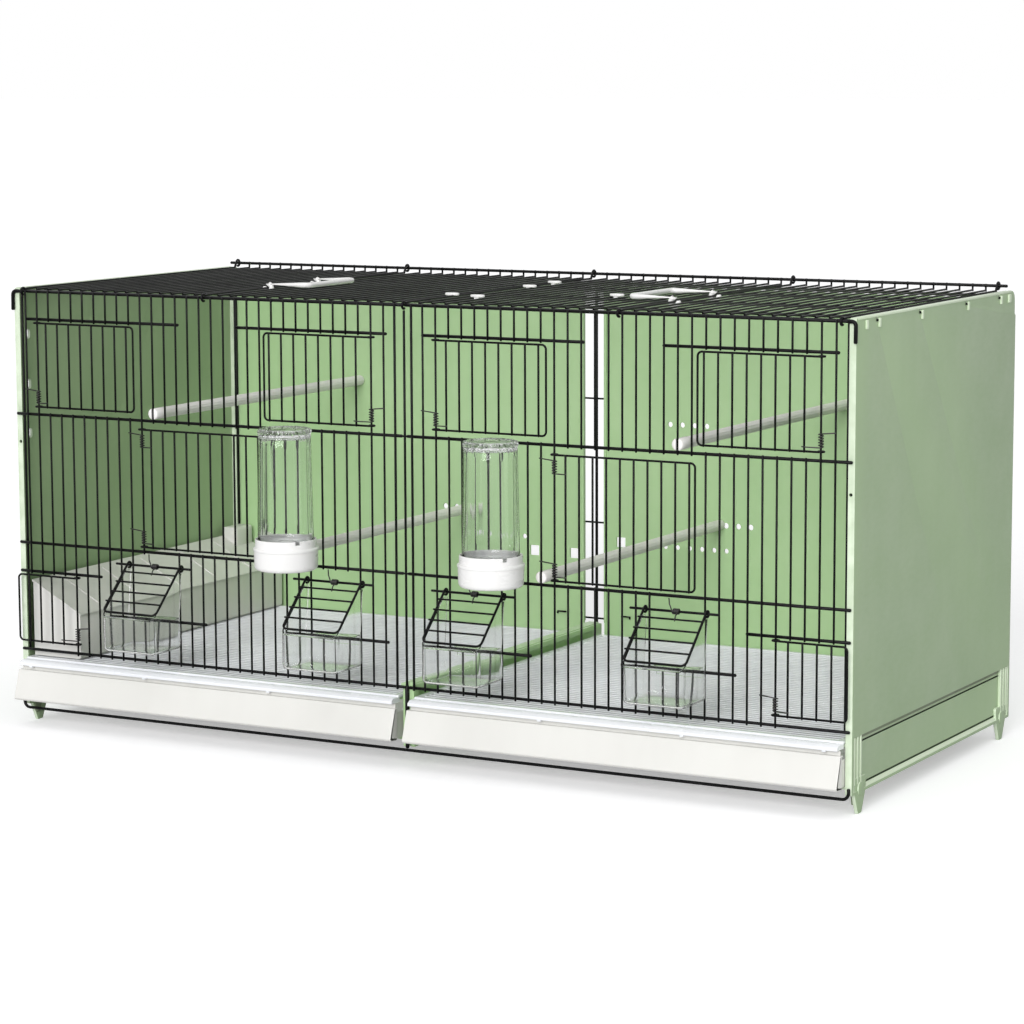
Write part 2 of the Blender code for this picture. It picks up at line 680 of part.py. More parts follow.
def drinker(side, word):
    """A bottle standing upside down in a cup whose spout reaches between two bars."""
    x = side * DRINKER_X
    collar_top = CUP_TOP_Z + COLLAR_HEIGHT
    profile = [
        (0, CUP_BOTTOM_Z + CUP_WALL),
        (CUP_R - CUP_WALL, CUP_BOTTOM_Z + CUP_WALL),
        (CUP_R - CUP_WALL, CUP_TOP_Z - CUP_WALL),
        (NECK_R + GAP, CUP_TOP_Z - CUP_WALL),
        (NECK_R + GAP, CUP_TOP_Z),
        (COLLAR_R - CUP_WALL, CUP_TOP_Z),
        (COLLAR_R - CUP_WALL, collar_top),
        (COLLAR_R, collar_top),
        (COLLAR_R, CUP_TOP_Z),
        (CUP_R, CUP_TOP_Z),
        (CUP_R, CUP_BOTTOM_Z + CUP_WALL),
        (CUP_R - CUP_WALL, CUP_BOTTOM_Z),
        (0, CUP_BOTTOM_Z),
    ]
    cup = turned(profile)
    spout_z = MIDDLE_RAIL_Z + RAIL_R + GAP
    start = CUP_R - 3 * CUP_WALL
    reach = SPOUT_REACH - CUP_Y
    spout = box((-SPOUT_HALF, start, spout_z), (SPOUT_HALF, reach, spout_z + SPOUT_DEPTH))
    half = SPOUT_HALF - CUP_WALL
    channel_z = spout_z + CUP_WALL
    channel = box(
        (-half, start - CUP_WALL, channel_z),
        (half, reach - CUP_WALL, spout_z + 2 * SPOUT_DEPTH),
    )
    roof_z = spout_z + SPOUT_DEPTH
    roof = box(
        (-SPOUT_HALF, start, roof_z - CUP_WALL),
        (SPOUT_HALF, SPOUT_ROOF_REACH - CUP_Y, roof_z + CUP_WALL),
    )
    body = boolean(cup, "UNION", spout)
    body = boolean(body, "DIFFERENCE", channel)
    body = boolean(body, "UNION", roof)
    piece(body, f"drinker_cup_{word}", "white_plastic", (x, CUP_Y, 0), True)
    seat = CUP_TOP_Z + GAP
    neck_end = seat - NECK_LENGTH
    top = CUP_TOP_Z + BOTTLE_HEIGHT
    top_r = BOTTLE_R - BOTTLE_TAPER
    bottle_profile = [
        (0, top),
        (top_r - BOTTLE_DOME, top),
        (top_r, top - BOTTLE_DOME),
        (BOTTLE_R, seat + 2 * BOTTLE_WALL),
        (BOTTLE_R - BOTTLE_WALL, seat),
        (NECK_R - GAP, seat),
        (NECK_R - GAP, neck_end),
        (NECK_R - GAP - BOTTLE_WALL, neck_end),
        (NECK_R - GAP - BOTTLE_WALL, seat + BOTTLE_WALL),
        (BOTTLE_R - BOTTLE_WALL, seat + 2 * BOTTLE_WALL),
        (top_r - BOTTLE_WALL, top - BOTTLE_DOME),
        (0, top - BOTTLE_DOME),
    ]
    bottle = turned(bottle_profile)
    piece(bottle, f"drinker_bottle_{word}", "clear_plastic", (x, CUP_Y, 0), True)


def perch(name, side, bar, rail_z):
    """A round perch lying on a grille rail behind a bar and reaching the back panel."""
    x = side * (CENTRE_GAP / 2 + END_GAP + (bar - 1) * BAR_PITCH)
    z = rail_z + RAIL_R + GAP + PERCH_R
    front = BAR_R + GAP
    back = BACK_Y - GAP
    rod = wires([(PERCH_R, ((0, 0, 0), (0, back - front, 0)))], 12)
    piece(rod, name, "white_plastic", (x, front, z), True)


def side_panel(side):
    """A moulded wall: a skin with a lip round its edge, a recessed foot band and two feet."""
    outer = box((PANEL_INNER_X, LIP_Y, PANEL_BOTTOM_Z), (OUTER_X, PANEL_BACK_Y, PANEL_TOP_Z))
    past = PANEL_WIDTH
    back = PANEL_BACK_Y - PANEL_LIP
    front = LIP_Y + PANEL_LIP
    upper = box(
        (PANEL_INNER_X - past, front, STEP_Z + PANEL_LIP),
        (SKIN_X, back, PANEL_TOP_Z - PANEL_LIP),
    )
    lower = box(
        (PANEL_INNER_X - past, front + GAP, PANEL_BOTTOM_Z + PANEL_LIP),
        (LOWER_SKIN_X, back - GAP, STEP_Z + 2 * PANEL_LIP),
    )
    recess = box(
        (OUTER_X - STEP_DEPTH, LIP_Y + STEP_EDGE, PANEL_BOTTOM_Z + PANEL_LIP),
        (OUTER_X + past, PANEL_BACK_Y - STEP_EDGE, STEP_Z),
    )
    wall = boolean(outer, "DIFFERENCE", upper, lower, recess)
    additions = []
    rib_inner = LOWER_SKIN_X + PANEL_SKIN / 2
    rib_outer = OUTER_X - GAP
    for end in (-1, 1):
        edge = LIP_Y if end < 0 else PANEL_BACK_Y
        for i in range(RIB_COUNT):
            start = edge - end * (RIB_START + i * RIB_PITCH)
            finish = start - end * RIB_WIDTH
            low_y, high_y = sorted((start, finish))
            rib_low = (rib_inner, low_y, RIB_BOTTOM_Z - FOOT_INSET)
            additions.append(box(rib_low, (rib_outer, high_y, STEP_Z + PANEL_LIP / 2)))
        near = edge - end * FOOT_INSET
        far = near - end * FOOT_TOP_WIDTH
        middle = (near + far) / 2
        sole = FOOT_SOLE / 2
        sole_near = middle + end * sole
        sole_far = middle - end * sole
        outline = [
            (near, RIB_BOTTOM_Z),
            (far, RIB_BOTTOM_Z),
            (far + end * FOOT_TAPER, PANEL_BOTTOM_Z),
            (sole_far, 0),
            (sole_near, 0),
            (near - end * FOOT_TAPER, PANEL_BOTTOM_Z),
        ]
        additions.append(side_slab(outline, rib_inner + GAP, rib_outer - GAP))
        prong_low, prong_high = sorted((near - end * GAP, near - end * PRONG_WIDTH))
        prong_x = PANEL_INNER_X - PRONG_DEPTH / 2
        additions.append(
            box(
                (prong_x, prong_low, PRONG_Z),
                (prong_x + PRONG_DEPTH, prong_high, PANEL_BOTTOM_Z + PANEL_LIP / 2),
            )
        )
    for y in (BACK_Y - GAP - CHANNEL_RIB, BACK_Y + BACK_THICKNESS + GAP):
        low = (SKIN_X - CHANNEL_DEPTH, y, STEP_Z + PANEL_LIP / 2)
        high = (SKIN_X + PANEL_SKIN / 2, y + CHANNEL_RIB, PANEL_TOP_Z - PANEL_LIP / 2)
        additions.append(box(low, high))
    for top in (DRAWER_BOTTOM_Z - GAP, GRID_TOP_Z - GRID_RIM_THICKNESS - GAP):
        low = (PANEL_INNER_X - LEDGE_REACH, LIP_Y + PANEL_LIP / 2, top - LEDGE_THICKNESS)
        high = (LOWER_SKIN_X + PANEL_SKIN / 2, BACK_Y - 2 * CHANNEL_RIB, top)
        additions.append(box(low, high))
    wall = boolean(wall, "UNION", *additions)
    if side < 0:
        wall.data.transform(Matrix.Scale(-1, 4, (1, 0, 0)))
        wall.data.flip_normals()
    piece(wall, "side_panel_left" if side < 0 else "side_panel_right", "green_plastic")


def back_panel(side):
    outer = LOWER_SKIN_X - GAP
    low = (BACK_HALF_GAP, BACK_Y, BACK_BOTTOM_Z)
    wall = box(low, (outer, BACK_Y + BACK_THICKNESS, BACK_TOP_Z))
    if side < 0:
        wall.data.transform(Matrix.Scale(-1, 4, (1, 0, 0)))
        wall.data.flip_normals()
    piece(wall, "back_panel_left" if side < 0 else "back_panel_right", "green_plastic")


def centre_rail():
    """The rail between the compartments: a cap on a web, with ledges and a front riser."""
    front = RAIL_Y + POST_R + GAP
    back = PANEL_BACK_Y - PANEL_LIP
    cap_bottom = CENTRE_RAIL_TOP_Z - 2 * PANEL_LIP
    cap_back = BACK_Y - GAP
    cap = box(
        (-CENTRE_RAIL_HALF, front, cap_bottom),
        (CENTRE_RAIL_HALF, cap_back, CENTRE_RAIL_TOP_Z),
    )
    drawer_top = DRAWER_BOTTOM_Z - GAP
    grid_top = GRID_TOP_Z - GRID_RIM_THICKNESS - GAP
    reach = CENTRE_RAIL_HALF + LEDGE_REACH
    bottom = drawer_top - LEDGE_THICKNESS
    web = box(
        (-CENTRE_WEB_HALF, front + GAP, bottom + GAP),
        (CENTRE_WEB_HALF, back, cap_bottom + PANEL_LIP),
    )
    riser = box(
        (-RISER_HALF, front + GAP / 2, PANEL_BOTTOM_Z),
        (RISER_HALF, front + RISER_DEPTH, cap_bottom + PANEL_LIP / 2),
    )
    parts = [web, riser]
    for top in (drawer_top, grid_top):
        low = (-reach, front + RISER_DEPTH / 2, top - LEDGE_THICKNESS)
        parts.append(box(low, (reach, cap_back - CHANNEL_RIB, top)))
    piece(boolean(cap, "UNION", *parts), "centre_rail", "green_plastic")


def centre_wires():
    top = TOP_RAIL_Z - HOOK_RING_R - HOOK_R - GAP
    bottom = TIE_Z + RAIL_R + GAP
    post = wires([(POST_R, ((0, RAIL_Y, bottom), (0, RAIL_Y, top)))], 6)
    piece(post, "centre_post", "black_wire")
    tick_y = BACK_Y + BACK_THICKNESS + GAP + REAR_TICK_R
    wire_y = tick_y + REAR_TICK_R + REAR_WIRE_R - WELD
    bottom = CENTRE_RAIL_TOP_Z - PANEL_LIP + GAP
    upright = wires([(REAR_WIRE_R, ((0, wire_y, bottom), (0, wire_y, REAR_WIRE_TOP_Z)))])
    tick_half = BACK_HALF_GAP + REAR_TICK_LAP
    ticks = []
    for z in REAR_TICK_Z:
        ends = ((-tick_half, tick_y, z), (tick_half, tick_y, z))
        ticks.append((REAR_TICK_R, ends))
    piece(boolean(upright, "UNION", wires(ticks)), "rear_wire", "black_wire")


def tie_wire():
    end_x = FRAME_X + RAIL_END / 2
    rise = TIE_Z + 4 * RAIL_R
    bend = 2 * RAIL_R
    points = [
        (-end_x, RAIL_Y, rise),
        (-end_x, RAIL_Y, TIE_Z + bend),
        (-end_x + bend, RAIL_Y, TIE_Z),
        (end_x - bend, RAIL_Y, TIE_Z),
        (end_x, RAIL_Y, TIE_Z + bend),
        (end_x, RAIL_Y, rise),
    ]
    piece(wires([(RAIL_R, points)], 6), "tie_wire", "black_wire")


def drawer(side):
    """A shallow tray on two ledges, with a leaning fascia before the panels' lips."""
    inner = CENTRE_RAIL_HALF + GAP
    outer = PANEL_INNER_X - 2 * GAP
    back = BACK_Y - DRAWER_BACK_PLAY
    tray = box((inner, FASCIA_INNER_Y, DRAWER_BOTTOM_Z), (outer, back, DRAWER_TOP_Z))
    wall = DRAWER_WALL
    hollow = box(
        (inner + wall, FASCIA_INNER_Y + wall, DRAWER_BOTTOM_Z + wall),
        (outer - wall, back - wall, DRAWER_TOP_Z + wall),
    )
    tray = boolean(tray, "DIFFERENCE", hollow)
    top_z = GRID_LEDGE_BOTTOM_Z - FASCIA_BELOW_LEDGE
    bottom_z = DRAWER_BOTTOM_Z + FASCIA_LIFT
    outline = [
        (FASCIA_TOP_Y, top_z),
        (FASCIA_BOTTOM_Y, bottom_z),
        (FASCIA_BOTTOM_Y + wall, bottom_z - wall),
        (FASCIA_INNER_Y + wall / 2, bottom_z - wall / 2),
        (FASCIA_INNER_Y + wall / 2, top_z),
    ]
    low_x = RISER_HALF + GAP
    fascia = side_slab(outline, low_x, FRAME_X - GAP)
    tray = boolean(tray, "UNION", fascia)
    if side < 0:
        tray.data.transform(Matrix.Scale(-1, 4, (1, 0, 0)))
        tray.data.flip_normals()
    piece(tray, "drawer_left" if side < 0 else "drawer_right", "white_plastic")


def floor_grid(side):
    """A wire floor in a rim, with a ledge at its front to pull it out by."""
    inner = CENTRE_RAIL_HALF + GAP
    outer = PANEL_INNER_X - 2 * GAP
    bottom = GRID_TOP_Z - GRID_RIM_THICKNESS
    back = BACK_Y - GRID_BACK_PLAY
    rim = box((inner, 0, bottom), (outer, back, GRID_TOP_Z))
    middle = box(
        (inner + GRID_RIM, GRID_RIM, bottom - GRID_RIM),
        (outer - GRID_RIM, back - GRID_RIM, GRID_TOP_Z + GRID_RIM),
    )
    rim = boolean(rim, "DIFFERENCE", middle)
    ledge = box(
        (inner + GAP, GRID_FRONT_Y, GRID_LEDGE_BOTTOM_Z),
        (outer - GAP, GRID_RIM / 2, GRID_LEDGE_TOP_Z),
    )
    long_wires = []
    cross_wires = []
    wire_z = bottom + GRID_RIM_THICKNESS / 2
    for i in range(GRID_LONG_WIRES):
        y = back * (i + 1) / (GRID_LONG_WIRES + 1)
        ends = ((inner + GRID_RIM / 2, y, wire_z), (outer - GRID_RIM / 2, y, wire_z))
        long_wires.append((GRID_WIRE_R, ends))
    cross_z = wire_z - 2 * GRID_WIRE_R + WELD
    for i in range(GRID_CROSS_WIRES):
        x = inner + (outer - inner) * (i + 1) / (GRID_CROSS_WIRES + 1)
        ends = ((x, GRID_RIM, cross_z), (x, back - GRID_RIM, cross_z))
        cross_wires.append((GRID_WIRE_R, ends))
    made = boolean(rim, "UNION", ledge, wires(long_wires), wires(cross_wires))
    if side < 0:
        made.data.transform(Matrix.Scale(-1, 4, (1, 0, 0)))
        made.data.flip_normals()
    piece(made, "floor_grid_left" if side < 0 else "floor_grid_right", "grey_plastic")


def floor_box():
    """A low box along the left wall, its lid sloping up towards the wall."""
    wall_x = -(PANEL_INNER_X - LEDGE_THICKNESS)
    inner_x = wall_x + BOX_WIDTH
    bottom = GRID_TOP_Z + GAP
    low_z = GRID_TOP_Z + BOX_LOW_HEIGHT
    high_z = GRID_TOP_Z + BOX_HIGH_HEIGHT
    slope = (high_z - low_z) / BOX_WIDTH
    back = BACK_Y - BOX_BACK_PLAY
    outline = [
        (wall_x, bottom),
        (inner_x, bottom),
        (inner_x, low_z),
        (wall_x, high_z),
    ]
    body = front_slab(outline, BOX_FRONT_Y, back)
    wall = BOX_WALL
    hollow = box(
        (wall_x + wall, BOX_FRONT_Y + wall, bottom + wall),
        (inner_x - wall, back - wall, high_z + wall),
    )
    piece(boolean(body, "DIFFERENCE", hollow), "floor_box", "white_plastic")
    over = BOX_LID_OVERHANG
    outline = [
        (wall_x, high_z + GAP),
        (inner_x + over, low_z - over * slope + GAP),
        (inner_x + over, low_z - over * slope + GAP + wall),
        (wall_x, high_z + GAP + wall),
    ]
    lid = front_slab(outline, BOX_FRONT_Y - over, back + over)
    block = box(
        (wall_x + GAP, back - BOX_BLOCK_DEPTH, high_z - BOX_WIDTH * slope / 3),
        (wall_x + BOX_WIDTH / 3, back, high_z + BOX_BLOCK_HEIGHT),
    )
    block_cut = front_slab(
        [
            (wall_x - over, high_z + over * slope + 2 * GAP),
            (inner_x, low_z + 2 * GAP),
            (inner_x, bottom),
            (wall_x - over, bottom),
        ],
        BOX_FRONT_Y,
        back + over,
    )
    block = boolean(block, "DIFFERENCE", block_cut)
    piece(boolean(lid, "UNION", block), "floor_box_lid", "white_plastic")


def ring_end(y, end):
    """The open ring at one end of a hook wire, round a wire at y; end is -1 at the front."""
    points = []
    for u, v in arc((0, 0), HOOK_RING_R, *HOOK_RING_SWEEP, HOOK_RING_STEPS):
        points.append((y - end * u, TOP_RAIL_Z + v))
    return points


def top_grille():
    """Wires from front to back on long rails, the five thicker ones ending in ring hooks."""
    runs = []
    front = TOP_RAIL_Y[0] - OVERSHOOT
    back = TOP_RAIL_Y[-1] + OVERSHOOT
    for side in (-1, 1):
        for near, far in zip(TOP_HOOK_X, TOP_HOOK_X[1:]):
            for i in range(TOP_WIRES_BETWEEN):
                x = side * (near + (far - near) * (i + 1) / (TOP_WIRES_BETWEEN + 1))
                runs.append((BAR_R, ((x, front, TOP_WIRE_Z), (x, back, TOP_WIRE_Z))))
    hook_places = sorted({side * x for x in TOP_HOOK_X for side in (-1, 1)})
    for x in hook_places:
        path = list(reversed(ring_end(RAIL_Y, -1)))
        path.append((RAIL_Y + 2 * HOOK_RING_R, HOOK_WIRE_Z))
        path.append((BACK_Y - 2 * HOOK_RING_R, HOOK_WIRE_Z))
        path += ring_end(BACK_Y, 1)
        runs.append((HOOK_R, [(x, y, z) for y, z in path]))
    rails = []
    end_x = OUTER_X - TOP_RAIL_OVERHANG
    for y in TOP_RAIL_Y:
        rails.append((RAIL_R, ((-end_x, y, TOP_RAIL_Z), (end_x, y, TOP_RAIL_Z))))
    piece(boolean(wires(runs), "UNION", wires(rails)), "top_grille", "black_wire")


def handle(side):
    """A plastic bail lying on the top, its two eyes turning on a hook wire."""
    front, back = HANDLE_Y
    half = (back - front) / 2
    eye = arc((0, 0), HANDLE_EYE_R, 90 - HANDLE_EYE_SWEEP, 90, HANDLE_EYE_STEPS)
    first = [(x, -half, z) for x, z in eye]
    corner = arc((HANDLE_REACH - HANDLE_CORNER, -half + HANDLE_CORNER), HANDLE_CORNER, -90, 0, 2)
    first += [(x, y, HANDLE_EYE_R) for x, y in corner]
    second = [(x, -y, z) for x, y, z in reversed(first)]
    points = [(-side * x, y, z) for x, y, z in first + second]
    name = "handle_left" if side < 0 else "handle_right"
    location = (side * TOP_HOOK_X[1], (front + back) / 2, HOOK_WIRE_Z)
    piece(wires([(HANDLE_R, points)]), name, "white_plastic", location, True)


def doors_and_springs():
    """The eight doors, each with its springs, numbered from the left."""
    gaps = []
    reach = (UPPER_DOOR_BARS + UPPER_DOOR_PAST_BARS) * BAR_PITCH
    number = 0
    for side in (-1, 1):
        for hinge, turn in ((LEFT_UPPER_HINGE_BAR, 1), (RIGHT_UPPER_HINGE_BAR, -1)):
            number += 1
            door(f"upper_door_{number}", side, hinge, turn, UPPER_DOOR_Z, UPPER_DOOR_BARS, reach)
            z = UPPER_DOOR_Z[0] + SPRING_FROM_DOOR_END
            gaps.append(door_spring(f"upper_door_spring_{number}", side, hinge, turn, z))
    reach = (MIDDLE_DOOR_BARS + MIDDLE_DOOR_PAST_BARS) * BAR_PITCH
    for side, word in ((-1, "left"), (1, "right")):
        hinge = MIDDLE_HINGE_BAR
        door(f"middle_door_{word}", side, hinge, 1, MIDDLE_DOOR_Z, MIDDLE_DOOR_BARS, reach)
        low = MIDDLE_DOOR_Z[0] + SPRING_FROM_DOOR_END
        high = MIDDLE_DOOR_Z[1] - SPRING_FROM_DOOR_END - SPRING_PITCH * (SPRING_TURNS + 1)
        gaps.append(door_spring(f"middle_door_spring_{word}_lower", side, hinge, 1, low))
        gaps.append(door_spring(f"middle_door_spring_{word}_upper", side, hinge, 1, high))
        hinge = LEFT_CORNER_HINGE_BAR if side < 0 else RIGHT_CORNER_HINGE_BAR
        corner_reach = abs(side * FRAME_X - bar_x(side, hinge)) + CORNER_DOOR_PAST_FRAME
        name = f"corner_door_{word}"
        door(name, side, hinge, side, CORNER_DOOR_Z, CORNER_DOOR_BARS, corner_reach)
        z = CORNER_DOOR_Z[0] + SPRING_FROM_DOOR_END
        gaps.append(door_spring(f"corner_door_spring_{word}", side, hinge, side, z))
    return min(gaps)


def feeders_and_flaps():
    number = 0
    for side in (-1, 1):
        for bar in feeder_bars(side):
            number += 1
            flap(f"feeder_flap_{number}", side, bar)
            flap_spring(f"feeder_flap_spring_{number}", side, bar)
            feeder(f"feeder_{number}", side, bar)


def perches():
    for side, word in ((-1, "left"), (1, "right")):
        perch(f"upper_perch_{word}", side, UPPER_PERCH_BAR, UPPER_RAIL_Z)
        perch(f"lower_perch_{word}", side, LOWER_PERCH_BAR, MIDDLE_RAIL_Z)


clear_scene()
CAGE = new_collection("bird_breeding_cage")
WORKSHOP = new_collection("cutters")
FRAME = bpy.data.objects.new("cage_frame", None)
CAGE.objects.link(FRAME)
FRAME.location = (0, -MIDDLE_Y, 0)

for SIDE in (-1, 1):
    side_panel(SIDE)
    back_panel(SIDE)
    front_grille(SIDE)
    drawer(SIDE)
    floor_grid(SIDE)
    handle(SIDE)
centre_rail()
centre_wires()
tie_wire()
top_grille()
spring_gap = doors_and_springs()
feeders_and_flaps()
drinker(-1, "left")
drinker(1, "right")
perches()
floor_box()
print(f"least gap between a spring's own turns: {spring_gap * 1000:.2f} mm")
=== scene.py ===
"""The looks of a two-compartment breeding cage for small birds.

Every shape is made in the cage's own frame, in metres: x = 0 in the middle, y = 0 in the
plane of the front bars and z = 0 on the floor. piece() then moves it to its place in the
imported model.
"""

import math

import bmesh
import bpy
from mathutils import Matrix, Vector


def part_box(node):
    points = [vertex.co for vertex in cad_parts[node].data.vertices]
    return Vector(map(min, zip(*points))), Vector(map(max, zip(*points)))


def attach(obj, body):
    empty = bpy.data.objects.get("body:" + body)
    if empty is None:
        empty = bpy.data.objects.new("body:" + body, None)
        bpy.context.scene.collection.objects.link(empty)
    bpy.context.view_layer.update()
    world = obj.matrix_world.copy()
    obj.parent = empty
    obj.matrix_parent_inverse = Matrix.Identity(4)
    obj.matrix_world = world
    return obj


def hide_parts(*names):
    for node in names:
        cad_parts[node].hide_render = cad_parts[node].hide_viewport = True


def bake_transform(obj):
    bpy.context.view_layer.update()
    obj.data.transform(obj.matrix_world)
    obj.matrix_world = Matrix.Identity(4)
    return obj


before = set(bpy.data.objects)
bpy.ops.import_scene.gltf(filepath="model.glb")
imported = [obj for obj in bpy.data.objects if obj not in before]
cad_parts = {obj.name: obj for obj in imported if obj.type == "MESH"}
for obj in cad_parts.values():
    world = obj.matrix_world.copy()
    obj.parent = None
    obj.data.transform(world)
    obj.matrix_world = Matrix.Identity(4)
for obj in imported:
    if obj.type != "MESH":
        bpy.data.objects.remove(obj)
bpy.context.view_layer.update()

# Wires, as radii
BAR_R = 0.001
RAIL_R = 0.0015
ROD_R = 0.0012
HOOK_R = 0.00125
LEG_R = 0.0018
SPRING_R = 0.0006
HANDLE_R = 0.0025
POST_R = 0.00115
LOWER_POST_R = 0.0019

# How shapes meet: a weld's overlap, the room between pieces, wires past a crossing, and how far
# a cutting shape reaches past what it cuts
WELD = 0.0003
GAP = 0.0003
OVERSHOOT = 0.0022
LEAST_STUB = 0.0066
PAST = 0.01

# Front grilles, whose bars are counted from the left of each
BAR_COUNT = 31
BAR_PITCH = 0.0137
END_GAP = 0.01197
CENTRE_GAP = 0.01795
FRAME_X = 0.443915
END_WIRE = (0.4408, 0.0062)
RAIL_END_X = 0.0023
LEG_BEND = 0.0037
RAIL_Y = 0.0022
ROD_Y = -0.0019
BACK_Y = 0.383
FLOOR_RAIL_Z = 0.0759
FEEDER_RAIL_Z = 0.117
CORNER_RAIL_Z = 0.155
FLAP_ROD_Z = 0.1705
MIDDLE_RAIL_Z = 0.1836
UPPER_RAIL_Z = 0.3123
DOOR_RAIL_Z = 0.4065
TOP_RAIL_Z = 0.4337
CROSS_RAILS_Z = (FLOOR_RAIL_Z, MIDDLE_RAIL_Z, UPPER_RAIL_Z)
REAR_WIRE_Z = (0.0768, 0.432)
TIE_Z = 0.0161

# Doors, flaps and springs
EYE_R = 0.0029
DOOR_LOOP_Y = -0.0029
DOOR_BAR_Y = -0.0046
UPPER_DOOR_Z = (0.3205, 0.403)
MIDDLE_DOOR_Z = (0.189, 0.304)
CORNER_DOOR_Z = (0.0855, 0.152)
MIDDLE_HINGE_BAR = 11
SPRING_COIL_R = 0.00205
SPRING_COIL_HEIGHT = 0.0125
SPRING_RISE = 0.003
COIL_STEPS = 16
FLAP_HALF = 0.0306
FLAP_REACH = 0.0431
FLAP_FALL = 0.0415
FLAP_EYE_R = 0.0027
LEFT_FEEDER_BARS = (12, 27)
RIGHT_FEEDER_BARS = (5, 20)

# Side panels: the walls, the ledges inside, and the tabs, each (place, half width), beside the
# holes for the ends of the roof's cross rails
OUTER_X = 0.4485
PANEL_INNER_X = 0.4422
LIP_Y = 0.004
PANEL_BACK_Y = 0.398
PANEL_TOP_Z = 0.4365
PANEL_BOTTOM_Z = 0.019
STEP_Z = 0.070
LEDGE_TOPS = (0.0267, 0.0647)
LEDGE_THICKNESS = 0.0025
THROUGH_X = (PANEL_INNER_X - PAST, OUTER_X + PAST)
PIN_HOLE = (0.4448, 0.284)
LEFT_SLOTS_Z = (0.390, 0.340, 0.291)
TAB_Z = (0.4255, 0.4335)
PANEL_TABS = (
    (0.026, 0.0022), (0.0545, 0.0018), (0.1545, 0.0018), (0.2695, 0.0018), (0.3565, 0.0018),
    (0.3790, 0.0032),
)

# Back panels: rows of holes, each (x, z, count, radius, corners, turn in degrees)
BOTH_HOLES = ((0.150, 0.190, 3, 0.0030, 14, 0), (0.082, 0.164, 6, 0.0026, 14, 0))
LEFT_HOLES = (*BOTH_HOLES, (0.070, 0.150, 1, 0.0074, 4, 45), (0.023, 0.150, 1, 0.0074, 4, 45))
RIGHT_HOLES = ((0.087, 0.290, 4, 0.0028, 14, 0), *BOTH_HOLES, (0.031, 0.165, 1, 0.0074, 4, 45))

# Top grille
TOP_HOOK_X = (0.0, 0.2219575, 0.436015)
TOP_RAIL_Y = (0.0085, 0.050, 0.150, 0.265, 0.352, BACK_Y)
TOP_WIRES_BETWEEN = 15
TOP_WIRE_Z = 0.4359
HOOK_WIRE_Z = 0.43615
REAR_RAIL_Z = 0.4409
HOOK_RING_R = 0.0032
CLIP_PLACES = ((-0.003, 0.097), (0.032, 0.084), (0.010, 0.227), (0.004, 0.290), (0.144, 0.152))

# Drawers and floor grids, between the centre rail and a side panel
BAY_X = (0.0083, PANEL_INNER_X - 0.0006)
GRID_TOP_Z = 0.068

# Drinkers, feeders and perches
DRINKER_X = 0.109995
CUP_Y = -0.0324
CUP_R = 0.0308
COLLAR_R = 0.029
NECK_R = 0.0197
CUP_BOTTOM_Z = 0.1845
CUP_TOP_Z = 0.206
BOTTLE_R = 0.0265
BOTTLE_TOP_R = 0.025
BOTTLE_TOP_Z = 0.3176
FEEDER_HALF = 0.0305
FEEDER_FRONT_Y = -0.050
FEEDER_BOTTOM_Z = 0.092
PERCH_R = 0.0055
UPPER_PERCH_X = 0.281245
LOWER_PERCH_X = 0.144245

# Studio: the suns, each (name, strength, softness in degrees, direction of its light), and the
# photo's camera, whose place is seen from the front bars and whose angles are yaw, pitch and roll
SUNS = (("key", 2.45, 30, (-0.22, 1.0, -0.36)), ("top", 0.7, 60, (-0.1, 0.25, -1.0)))
FLOOR_REACH = 60
CAMERA_PLACE = (1.507609, -2.530572, 0.647817)
CAMERA_ANGLES = (28.8408, 7.8611, -0.2301)
SENSOR_WIDTH = 36
FOCAL_PIXELS = 3202.997
PHOTO_WIDTH = 1024

post_low, post_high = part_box("centre_post")
ORIGIN_Y = (post_low.y + post_high.y) / 2 - RAIL_Y


WHITE = (1, 1, 1, 1)
UP = (0, 0, 1)
FRONT = (0, -1, 0)
SCRATCH_SCALE = 220.0
MILLIMETRE = 0.001


def working(name, data):
    obj = bpy.data.objects.new(name, data)
    bpy.context.scene.collection.objects.link(obj)
    return obj


def add(tree, kind, feeds=None, settings=None, family="ShaderNode"):
    """A node with its settings, whose inputs hold plain values or come from other nodes."""
    made = tree.nodes.new(family + kind)
    for key, value in (settings or {}).items():
        setattr(made, key, value)
    for key, value in (feeds or {}).items():
        if isinstance(value, bpy.types.NodeSocket):
            tree.links.new(value, made.inputs[key])
        else:
            made.inputs[key].default_value = value
    return made


def node_group(name, kind, inputs, outputs):
    """An empty group with named inputs, each (name, type, default), and its in and out nodes."""
    tree = bpy.data.node_groups.new(name, kind)
    for label, sort, default in inputs:
        socket = tree.interface.new_socket(label, in_out="INPUT", socket_type=f"NodeSocket{sort}")
        if default is not None:
            socket.default_value = default
    for label, sort in outputs:
        tree.interface.new_socket(label, in_out="OUTPUT", socket_type=f"NodeSocket{sort}")
    return tree, tree.nodes.new("NodeGroupInput").outputs, tree.nodes.new("NodeGroupOutput").inputs


def math_node(tree, operation, first, second=0.0):
    return add(tree, "Math", {0: first, 1: second}, {"operation": operation}).outputs[0]


def weighted(tree, *terms):
    """The sum of two values, each given as (value, weight)."""
    first, second = (math_node(tree, "MULTIPLY", value, weight) for value, weight in terms)
    return math_node(tree, "ADD", first, second)


def map_range(tree, value, low, high, to_low=0.0, to_high=1.0, kind="LINEAR"):
    feeds = {"Value": value, "From Min": low, "From Max": high, "To Min": to_low, "To Max": to_high}
    return add(tree, "MapRange", feeds, {"interpolation_type": kind}).outputs[0]


def mix_colour(tree, factor, first, second):
    return add(tree, "Mix", {0: factor, 6: first, 7: second}, {"data_type": "RGBA"}).outputs[2]


